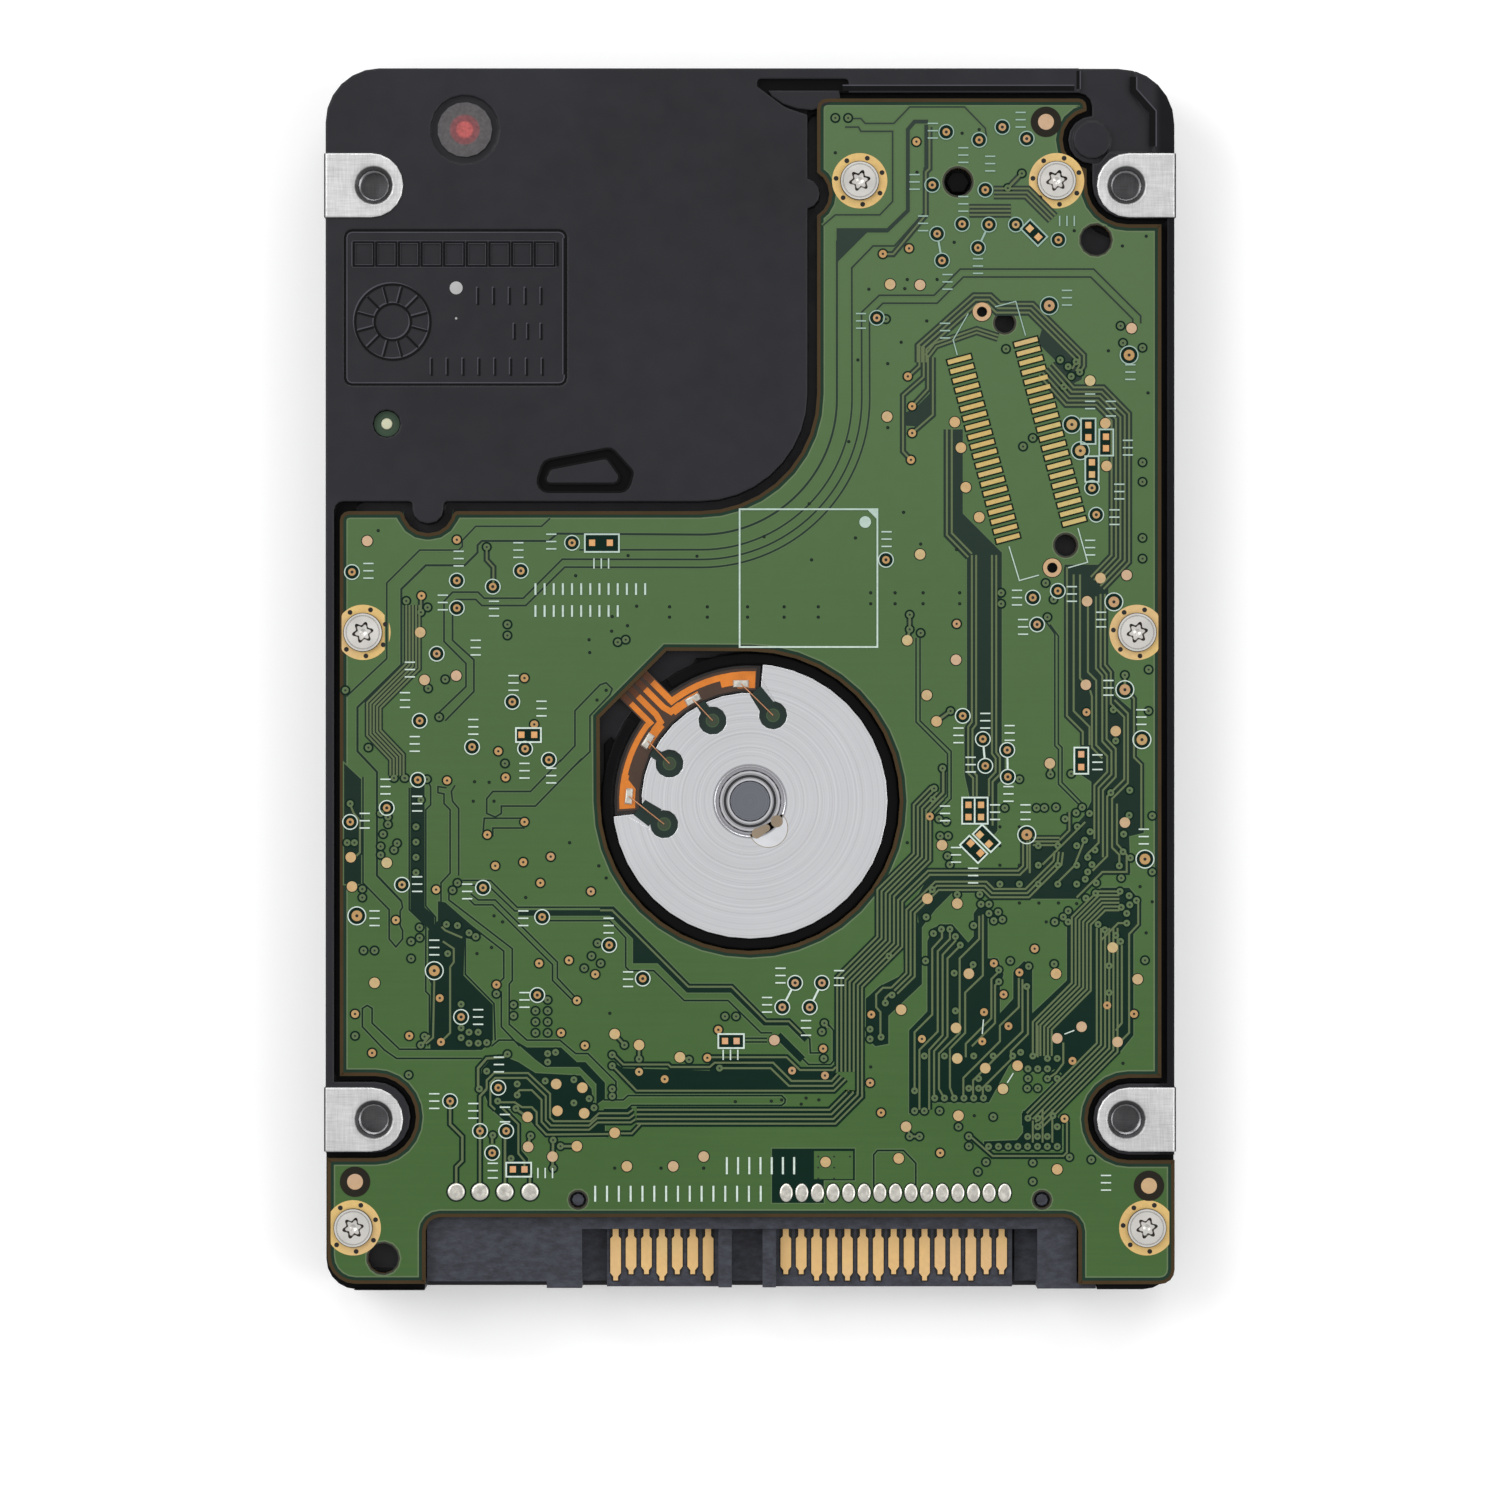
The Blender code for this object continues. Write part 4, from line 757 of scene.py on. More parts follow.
BARE = [  # areas with no copper under the mask
    [(22.4, -35.4), (22.4, -37.2), (21.9, -37.8), (19.2, -37.9), (19.2, -38.6), (25.6, -38.6),
     (25.6, -36.4), (24.9, -35.4)],
    [(12.9, -19.0), (14.1, -20.3), (14.1, -25.0), (12.4, -26.6), (11.35, -27.6), (11.35, -29.9),
     (10.3, -30.1), (9.5, -29.4), (9.5, -26.2), (10.6, -25.2), (12.6, -24.2)],
    [(7.1, 37.0), (11.5, 37.0), (11.3, 36.65), (9.6, 36.65), (7.2, 34.25), (7.1, 34.25)],
    [(14.8, 23.5), (14.8, 21.8), (13.7, 20.75), (12.75, 20.8), (12.75, 21.9), (13.5, 22.2)],
    [(24.0, 28.9), (23.6, 27.6), (25.0, 26.2), (25.6, 23.8), (27.2, 24.6), (27.5, 26.5), (25.2, 28.9)],
    [(16.0, 20.5), (17.45, 20.5), (17.45, 13.6), (20.65, 10.4), (20.65, -5.9), (20.9, -6.3), (20.9, -8.0),
     (20.3, -8.6), (20.3, -12.4), (19.9, -12.9), (18.0, -9.6), (17.6, -7.8), (17.6, -4.0), (17.8, -3.7),
     (17.8, 10.4), (16.0, 12.2)],
    [(25.8, 9.4), (29.4, 9.4), (29.4, 1.2), (29.9, 0.6), (29.9, -1.3), (31.4, -2.6), (31.75, -6.3),
     (32.3, -7.0), (32.3, -12.6), (31.0, -12.9), (28.0, -13.2), (28.0, -8.4), (27.1, -7.8), (27.1, -4.4),
     (25.8, -3.1)],
    [(-9.6, -21.0), (-9.6, -23.3), (-7.5, -23.3), (-5.1, -25.65), (-5.0, -25.4)],
    [(-11.3, -32.1), (-10.9, -31.6), (-10.4, -31.9), (-3.3, -32.1), (-3.0, -31.3), (2.0, -31.3),
     (3.0, -30.8), (4.2, -31.9), (6.7, -31.9), (7.0, -31.6), (7.0, -33.6), (-9.4, -33.6)],
    [(-19.5, -29.5), (-18.3, -30.2), (-15.5, -30.2), (-14.2, -31.4), (-13.5, -31.4), (-11.9, -33.1),
     (-11.9, -34.4), (-12.6, -34.9), (-12.6, -33.2), (-14.0, -31.8), (-16.8, -31.8), (-17.6, -31.2),
     (-19.2, -29.8)],
    [(-22.0, -32.0), (-21.4, -31.3), (-20.0, -31.0), (-19.0, -31.4), (-17.6, -32.3), (-13.9, -32.5),
     (-13.0, -33.6), (-12.8, -35.4), (-11.9, -35.4), (-11.9, -37.55), (-16.8, -37.55), (-17.8, -36.5),
     (-18.6, -35.4), (-19.9, -35.2), (-18.8, -36.4), (-18.8, -38.6), (-18.2, -39.3), (-18.2, -39.8),
     (-19.9, -39.8), (-19.9, -37.6), (-19.4, -36.9), (-21.3, -35.2), (-22.1, -33.3)],
    [(1.8, -38.5), (8.6, -38.5), (8.6, -41.1), (6.05, -41.1), (6.05, -42.95), (1.8, -42.95)],
    [(-33.3, -6.9), (-31.9, -8.2), (-31.9, -16.8), (-33.3, -16.8)],
    [(-27.85, -8.9), (-26.7, -8.5), (-26.7, -18.7), (-25.9, -19.4), (-25.9, -21.0), (-26.5, -20.3),
     (-27.85, -18.95)],
    [(-25.6, -18.2), (-25.0, -18.3), (-22.0, -20.9), (-22.6, -21.4), (-23.4, -21.2), (-23.5, -24.3),
     (-21.1, -26.7), (-21.1, -29.6), (-22.0, -30.4), (-26.2, -30.4), (-26.3, -29.3), (-25.9, -25.5),
     (-26.4, -24.5), (-26.4, -20.6), (-25.6, -19.8)],
    [(13.05, -35.6), (13.05, -28.8), (14.55, -27.25), (14.55, -21.5), (15.0, -20.4), (15.8, -20.1),
     (16.6, -20.1), (17.9, -21.6), (18.35, -21.1), (18.35, -19.2), (19.0, -18.3), (19.5, -19.0),
     (19.5, -22.9), (20.3, -22.9), (20.8, -24.2), (20.5, -25.2), (20.5, -27.4), (21.6, -26.2),
     (21.6, -24.0), (22.5, -23.1), (23.15, -23.6), (23.15, -27.4), (26.0, -24.7), (26.0, -20.0),
     (27.0, -19.0), (28.8, -17.1), (31.1, -17.1), (32.05, -18.2), (32.05, -20.2), (31.45, -20.9),
     (31.45, -29.2), (30.4, -30.5), (23.6, -37.0), (22.3, -36.6), (22.3, -35.6), (25.6, -32.4),
     (25.2, -31.9), (24.5, -32.2), (22.8, -32.2), (22.2, -31.4), (21.4, -31.4), (19.6, -34.7),
     (14.8, -34.7), (14.3, -35.6)],
    [(15.0, -15.6), (22.2, -15.6), (22.4, -13.2), (25.6, -13.2), (27.4, -11.2), (28.2, -9.6), (31.0, -9.6),
     (31.2, -15.9), (29.0, -15.9), (26.9, -18.0), (20.0, -18.0), (18.8, -17.5), (16.6, -17.5),
     (15.2, -18.9), (13.9, -20.6), (13.6, -18.0)],
]

TRACES = [  # copper lines under mask, in the bare areas
    [(26.0, -36.3), (26.0, -38.8), (25.7, -39.1), (19.9, -39.1), (18.2, -37.6)],
    [(24.8, -35.3), (24.8, -38.0)],
    [(24.0, -35.2), (24.0, -38.0)],
    [(23.2, -36.2), (23.2, -38.0)],
    [(12.9, -36.9), (13.2, -37.5), (13.9, -37.5)],
    [(-21.6, 10.85), (-21.6, 9.8), (-21.05, 9.2), (-21.05, 7.9)],
    [(-27.0, 6.6), (-27.0, 5.5)],
    [(10.9, 34.88), (11.75, 34.88), (14.42, 38.1), (14.42, 41.6), (14.72, 41.9), (14.72, 45.3)],
    [(13.9, 27.4), (13.9, 25.7), (13.1, 24.95)],
    [(14.6, 26.6), (14.6, 23.8), (13.4, 22.5)],
    [(14.25, 27.3), (14.25, 24.8), (12.55, 23.3), (12.55, 18.7), (13.15, 18.05)],
    [(15.0, 26.4), (15.0, 21.7), (13.4, 20.3)],
    [(13.5, -33.7), (13.5, -28.95), (14.95, -27.5), (14.95, -22.1), (15.75, -21.2), (15.75, -20.5)],
    [(13.9, -35.3), (13.9, -30.4), (15.4, -28.9), (15.4, -22.3), (16.4, -21.3), (16.4, -20.5)],
    [(14.7, -35.3), (14.7, -30.4), (15.8, -29.2), (15.8, -22.6), (16.9, -21.4)],
    [(15.1, -34.3), (15.1, -30.5), (16.2, -29.3), (16.2, -22.9), (17.2, -21.9)],
    [(15.9, -34.3), (15.5, -33.6), (15.5, -30.7), (17.2, -29.0), (17.2, -22.9), (18.8, -21.3),
     (18.8, -19.4)],
    [(16.7, -34.3), (16.4, -33.5), (16.4, -30.3), (17.65, -29.0), (17.65, -25.7), (19.1, -24.3),
     (19.1, -19.3)],
    [(20.4, -24.0), (19.8, -24.6), (19.8, -27.8), (17.7, -29.9), (17.7, -31.0)],
    [(20.4, -24.8), (20.1, -25.1), (20.1, -28.2), (18.2, -30.1)],
    [(22.05, -24.5), (22.05, -26.9), (20.5, -28.4), (20.5, -29.7), (17.5, -32.7), (17.5, -34.3)],
    [(22.35, -24.6), (22.35, -28.9), (20.9, -30.3), (18.3, -32.9), (18.3, -34.3)],
    [(22.8, -25.3), (22.8, -29.1), (21.4, -30.5), (21.4, -31.2), (19.1, -33.5), (19.1, -34.3)],
    [(31.85, -18.3), (31.85, -20.1), (31.1, -20.9), (31.1, -29.0), (30.4, -29.7)],
    [(30.5, -21.8), (30.5, -28.2), (30.0, -28.8)],
    [(28.8, -21.4), (30.2, -20.0), (30.9, -20.0)],
    [(25.7, -29.8), (25.7, -31.5), (25.1, -32.3), (24.5, -32.7)],
    [(23.6, -31.0), (23.6, -28.4)],
    [(18.2, 10.2), (18.2, -3.5), (17.9, -3.9), (17.9, -7.7), (18.3, -8.1), (18.3, -9.6)],
    [(18.55, 10.2), (18.55, -3.7), (18.25, -4.1), (18.25, -7.5), (18.6, -7.9), (18.6, -9.6)],
    [(19.85, 10.2), (19.85, -6.1), (20.15, -6.5), (20.15, -7.6), (19.6, -8.2), (19.6, -9.6)],
    [(20.2, 10.2), (20.2, -6.0), (20.5, -6.4), (20.5, -7.8), (19.9, -8.4), (19.9, -12.0)],
    [(26.0, 9.2), (26.0, -3.0), (27.3, -4.3), (27.3, -5.4)],
    [(26.55, 8.6), (26.55, -2.6), (27.85, -3.9), (27.85, -5.4)],
    [(27.07, 8.6), (27.07, 0.1), (27.4, -0.3)],
    [(27.9, -0.9), (28.05, -1.4), (28.05, -5.6), (28.9, -6.5)],
    [(27.72, 6.8), (27.72, 0.6), (28.4, -0.1), (28.4, -5.4), (29.3, -6.3), (29.3, -7.6), (28.25, -8.7),
     (28.25, -13.1)],
    [(28.38, 6.8), (28.38, 0.9), (28.9, 0.3), (28.9, -5.1), (29.65, -5.9), (29.65, -7.8), (28.6, -8.9),
     (28.6, -13.4), (27.6, -14.4)],
    [(28.76, 7.0), (28.76, 1.0), (29.25, 0.4), (29.25, -4.9), (30.0, -5.7), (30.0, -8.0), (28.95, -9.1),
     (28.95, -14.6)],
    [(29.12, 7.0), (29.12, 1.2), (29.6, 0.6), (29.6, -2.0), (30.7, -3.1), (30.7, -8.2), (29.3, -9.6),
     (29.3, -14.5), (28.1, -15.7)],
    [(29.9, -1.7), (31.0, -2.8), (31.0, -8.5), (29.7, -9.8), (29.7, -13.8), (30.3, -14.4), (30.3, -15.2)],
    [(31.2, -1.2), (31.5, -1.6), (31.5, -6.4), (32.1, -7.0), (32.1, -12.4)],
    [(30.1, -10.2), (30.1, -13.5), (30.9, -14.4), (30.9, -15.8), (28.9, -15.8), (26.8, -17.9)],
    [(11.6, -25.3), (10.9, -25.3), (10.35, -25.85), (10.35, -26.9), (10.7, -27.3), (10.7, -29.3)],
    [(11.9, -25.85), (11.4, -25.85), (11.1, -26.15), (11.1, -26.5)],
    [(-3.2, -31.0), (3.0, -31.0), (4.1, -32.05), (6.8, -32.05), (7.05, -31.8)],
    [(-11.1, -30.9), (-10.4, -31.6), (-6.7, -31.6), (-6.5, -31.8), (-3.3, -31.8), (-2.9, -31.45),
     (1.9, -31.45), (3.4, -32.95), (6.7, -32.95), (7.2, -32.4)],
    [(-2.5, -31.9), (1.7, -31.9), (3.2, -33.35), (6.8, -33.35), (7.5, -32.6)],
    [(-11.1, -31.9), (-9.3, -33.75), (6.9, -33.75), (7.85, -32.8)],
    [(-12.3, -18.95), (-11.3, -18.95), (-5.05, -25.22), (-1.5, -25.22), (1.3, -28.05), (3.2, -28.05),
     (4.2, -29.05)],
    [(-19.1, -33.9), (-18.9, -33.7), (-17.9, -33.7), (-17.1, -34.5), (-17.1, -36.3), (-16.5, -36.95),
     (-13.2, -36.95), (-12.5, -36.35), (-9.8, -36.35), (-9.4, -36.1)],
    [(-21.6, -33.6), (-21.6, -32.9), (-21.0, -32.3), (-18.2, -32.3), (-16.4, -34.0), (-16.4, -35.95),
     (-16.1, -36.25), (-13.1, -36.25), (-12.4, -35.6), (-10.0, -35.6), (-9.6, -35.3)],
    [(-20.9, -35.3), (-21.3, -34.9), (-21.3, -33.1), (-20.9, -32.7), (-18.3, -32.7), (-16.75, -34.2),
     (-16.75, -36.15), (-16.3, -36.6), (-13.2, -36.6), (-12.55, -36.0), (-9.9, -36.0), (-9.5, -35.7)],
    [(-20.6, -34.7), (-19.3, -34.7), (-18.7, -35.1), (-17.9, -35.1), (-17.5, -35.5), (-17.5, -36.5),
     (-16.7, -37.35), (-11.6, -37.3)],
    [(-10.6, -37.25), (-9.7, -37.25), (-9.0, -36.5)],
    [(-20.5, -35.0), (-19.0, -36.5), (-19.0, -38.9), (-18.5, -39.5), (-18.5, -40.0)],
    [(-25.3, -20.3), (-25.0, -20.6), (-23.6, -21.2)],
    [(-24.6, -23.6), (-24.3, -23.2), (-24.3, -22.1), (-25.2, -21.5)],
    [(-24.6, -23.6), (-24.6, -29.0), (-25.2, -29.6)],
    [(-25.9, -24.6), (-26.0, -29.4), (-26.6, -29.9)],
    [(-32.75, -10.4), (-32.5, -11.0), (-32.0, -11.6), (-32.0, -14.2), (-32.3, -14.5)],
    [(22.95, -13.2), (22.95, -15.9)],
    [(24.0, -15.2), (26.2, -13.0), (27.5, -11.7)],
    [(25.2, -16.7), (26.6, -15.3), (27.4, -13.3)],
    [(26.2, -10.9), (26.2, -12.4), (25.4, -13.2)],
]
LINKED = [  # short outlined lines from a pad to a hole
    [(15.3, -3.45), (16.45, -2.6)],
    [(24.6, -6.9), (24.65, -7.8)],
    [(-18.25, -35.9), (-19.2, -35.25)],
    [(-18.2, -38.35), (-18.05, -37.45)],
    [(-16.2, -40.1), (-16.15, -37.8)],
    [(-14.2, -38.3), (-15.55, -38.3)],
    [(-11.1, -29.1), (-10.3, -30.0)],
    [(-9.1, -30.0), (-9.1, -31.15)],
    [(-5.75, -31.0), (-5.0, -31.2)],
    [(-24.6, -34.8), (-24.6, -36.5), (-23.6, -37.5), (-23.6, -39.5), (-24.1, -40.0), (-24.1, -41.4)],
    [(-22.15, -41.4), (-22.15, -34.2), (-21.6, -33.6)],
    [(-20.1, -41.4), (-20.1, -37.6)],
    [(-18.05, -41.4), (-18.05, -40.6)],
    [(-21.15, -38.1), (-21.15, -37.4)],
    [(-22.3, -33.5), (-22.3, -31.9), (-21.6, -31.1), (-20.2, -31.0), (-19.9, -30.75)],
    [(13.1, 5.3), (13.1, 4.1), (12.9, 3.2)],
    [(15.85, -7.3), (15.85, -9.3), (14.4, -10.8)],
    [(17.0, -18.4), (17.0, -17.65)],
    [(18.3, -23.4), (17.95, -24.15)],
    [(21.15, 40.3), (22.3, 41.5)],
    [(6.1, -28.2), (6.4, -28.6)],
    [(30.75, 0.35), (30.75, -0.85)],
    [(-26.9, -30.0), (-26.3, -29.2)],
]
BUNDLES = [
    (2, 0.3, [(14.6, 26.4), (15.3, 27.3), (18.6, 28.45), (20.3, 27.9)]),
    (3, 0.33, [(18.0, 38.1), (21.4, 38.1)]),
    (3, 0.33, [(20.0, 39.6), (22.6, 39.6), (24.6, 37.6)]),
    (5, 0.27, [(-28.2, 6.1), (-28.2, 1.3), (-31.4, -1.9), (-31.4, -4.6), (-29.5, -6.6), (-29.5, -7.9)]),
    (3, 0.36, [(27.05, 25.1), (27.4, 25.7), (27.4, 26.6), (23.2, 30.8), (20.5, 30.8), (19.75, 31.5),
     (18.35, 31.5), (13.75, 27.4), (13.75, 26.0)]),
    (5, -0.36, [(24.8, 25.9), (26.55, 23.95), (29.0, 23.95), (31.1, 21.8), (31.1, 9.6), (29.0, 7.4)]),
    (2, -0.4, [(16.55, 20.5), (16.55, 12.0), (18.2, 10.3)]),
    (5, -0.34, [(7.15, -32.2), (7.15, -24.4), (10.45, -21.1), (10.45, -17.25), (13.43, -14.3),
     (13.43, -10.3), (14.9, -8.8)]),
    (2, -0.34, [(8.85, -34.0), (8.85, -25.1), (12.15, -21.8), (12.15, -18.1), (14.6, -15.7), (22.0, -15.7),
     (22.4, -15.3), (22.4, -13.3)]),
    (3, -0.34, [(11.6, -25.3), (12.83, -24.1), (12.83, -18.9), (15.2, -16.6), (19.4, -16.6), (20.0, -17.2),
     (22.6, -17.2), (24.9, -14.9), (25.0, -14.1)]),
    (6, -0.31, [(23.2, -30.9), (23.2, -28.1), (26.4, -24.9), (26.4, -19.5), (28.5, -17.4), (30.3, -17.4)]),
    (6, 0.34, [(28.45, -20.4), (28.45, -29.85), (22.7, -35.6)]),
    (3, 0.3, [(25.4, -13.0), (23.2, -13.0)]),
    (4, 0.38, [(-9.3, -36.45), (7.0, -36.45), (9.2, -34.25), (9.2, -33.8)]),
]

RINGED_POINTS = [  # the middles of the test points that have a printed ring
    (-14.6, 11.2), (-32.65, 8.8), (-24.05, 8.1), (-21.1, 7.6), (-18.8, 8.9), (-24.05, 5.85), (-25.7, 2.1),
    (-19.5, -1.85), (-27.1, -3.4), (-22.8, -5.55), (-18.45, -5.7), (-16.5, -6.6), (-27.25, -8.25),
    (-29.8, -10.55), (-32.8, -11.7), (-28.55, -16.85), (-21.9, -17.1), (-17.05, -19.5), (-11.55, -21.8),
    (-17.45, -25.9), (-23.7, -27.7), (-8.8, -24.55), (3.7, -24.9), (5.9, -24.9), (2.65, -26.9),
    (4.9, -26.9), (-20.65, -33.5), (-24.6, -34.6), (-22.15, -37.05), (-20.0, -37.05), (-21.15, -38.85),
    (16.1, 44.9), (18.8, 44.25), (20.7, 45.3), (22.7, 44.35), (14.95, 40.55), (19.3, 40.15), (17.4, 37.35),
    (19.6, 37.3), (21.8, 37.3), (25.3, 36.05), (15.35, 36.55), (15.75, 34.35), (18.7, 35.4), (10.4, 29.65),
    (11.15, 9.8), (28.05, 15.7), (28.4, 13.5), (23.2, 6.7), (25.25, 7.25), (23.55, 4.5), (17.45, -3.0),
    (19.1, -4.9), (19.3, -7.1), (21.1, -5.8), (21.15, -8.0),
]
WIDE_RINGED_POINTS = [
    (-32.25, -19.4), (-25.9, -23.9), (24.55, 30.65), (31.1, 26.6), (26.4, 20.9), (27.1, 18.75),
    (29.85, 6.35), (30.75, -0.85), (32.15, -4.95), (32.4, -14.75), (22.7, -12.75),
]
LINKS = [
    ((3.7, -24.9), (2.65, -26.9)),
    ((5.9, -24.9), (4.9, -26.9)),
    ((15.35, 36.55), (15.75, 34.35)),
    ((19.6, 37.3), (18.7, 35.4)),
    ((19.1, -4.9), (19.3, -7.1)),
    ((21.1, -5.8), (21.15, -8.0)),
]
TEST_DOTS = [
    (31.3, 28.8), (11.5, 32.4), (13.95, 32.35), (11.25, 21.55), (16.8, 21.1), (17.3, 19.0), (17.7, 15.75),
    (18.8, 13.3), (13.95, 10.25), (27.9, 24.5), (29.15, 21.0), (29.25, 17.5), (28.75, 8.3), (30.9, 8.55),
    (27.65, 6.4), (27.55, -0.45), (12.9, 3.2), (16.9, 1.6), (14.5, -1.3), (15.3, -3.45), (24.6, -6.9),
    (30.0, -4.25), (30.75, -11.75), (-31.4, 11.35), (-27.05, 3.85), (-26.7, -0.05), (-24.1, 0.3),
    (-32.75, -14.6), (-32.65, -17.0), (-29.8, -15.05), (-30.8, -24.9), (-11.1, -29.1), (-9.1, -30.0),
    (-5.75, -31.0), (2.0, -29.6), (-11.1, -37.2), (15.75, -13.6), (14.55, -18.0), (17.0, -18.4),
    (17.95, -24.15), (25.1, -24.15), (29.75, -22.0), (31.8, -24.6), (12.4, -27.1), (16.9, -28.6),
    (27.2, -28.5), (25.2, -29.45), (30.15, -29.75), (17.0, -31.1), (19.3, -31.9), (21.95, -31.7),
    (20.75, -33.6), (17.1, -35.8), (12.8, -36.7), (-15.9, -33.2), (-13.75, -33.5), (-15.8, -35.4),
    (-13.6, -35.6), (-18.25, -35.9), (-18.2, -38.35), (-16.2, -39.15), (-14.2, -38.3), (-10.1, -39.95),
    (-6.3, -39.95), (-3.8, -39.15), (6.2, -39.6), (12.2, -39.3), (25.2, -40.2),
]
PLATED_HOLES = [
    (13.65, 44.1), (13.05, 35.35), (10.9, 34.9), (12.95, 24.85), (13.3, 22.4), (13.3, 20.2), (13.2, 18.0),
    (16.95, 4.55), (27.6, -2.7), (14.75, -11.25), (-24.05, 11.45), (-26.95, 6.85), (-18.5, 0.1),
    (-17.7, -3.7), (-20.65, -5.9), (-20.05, -8.05), (-24.85, -8.3), (-18.5, -11.7), (-21.55, -12.75),
    (-20.9, -15.3), (-18.6, -15.0), (-16.35, -14.55), (-17.2, -16.7), (-13.05, -17.4), (-25.75, -17.25),
    (-29.05, -19.75), (-14.85, -23.05), (-17.3, -23.3), (-12.7, -24.2), (-20.8, -25.05), (-14.2, -26.35),
    (-25.45, -26.15), (-32.4, -27.45), (-27.95, -29.25), (-15.5, -29.0), (-25.35, -29.75), (-13.55, -30.05),
    (-31.0, -30.65), (-2.6, -28.75), (-3.5, -31.05), (-9.1, -32.2), (-7.0, -32.8), (6.0, -30.3),
    (3.45, -32.1), (6.15, -32.5), (9.95, -27.5), (9.85, -33.1), (10.75, -35.55), (20.0, -23.3),
    (22.1, -24.05), (23.35, -22.1), (20.8, -25.85), (19.2, -27.3), (21.2, -28.45), (19.05, -29.7),
    (14.1, -29.5), (29.3, -26.75), (31.5, -27.45), (26.45, -31.3), (25.8, -36.05), (15.6, -38.85),
]
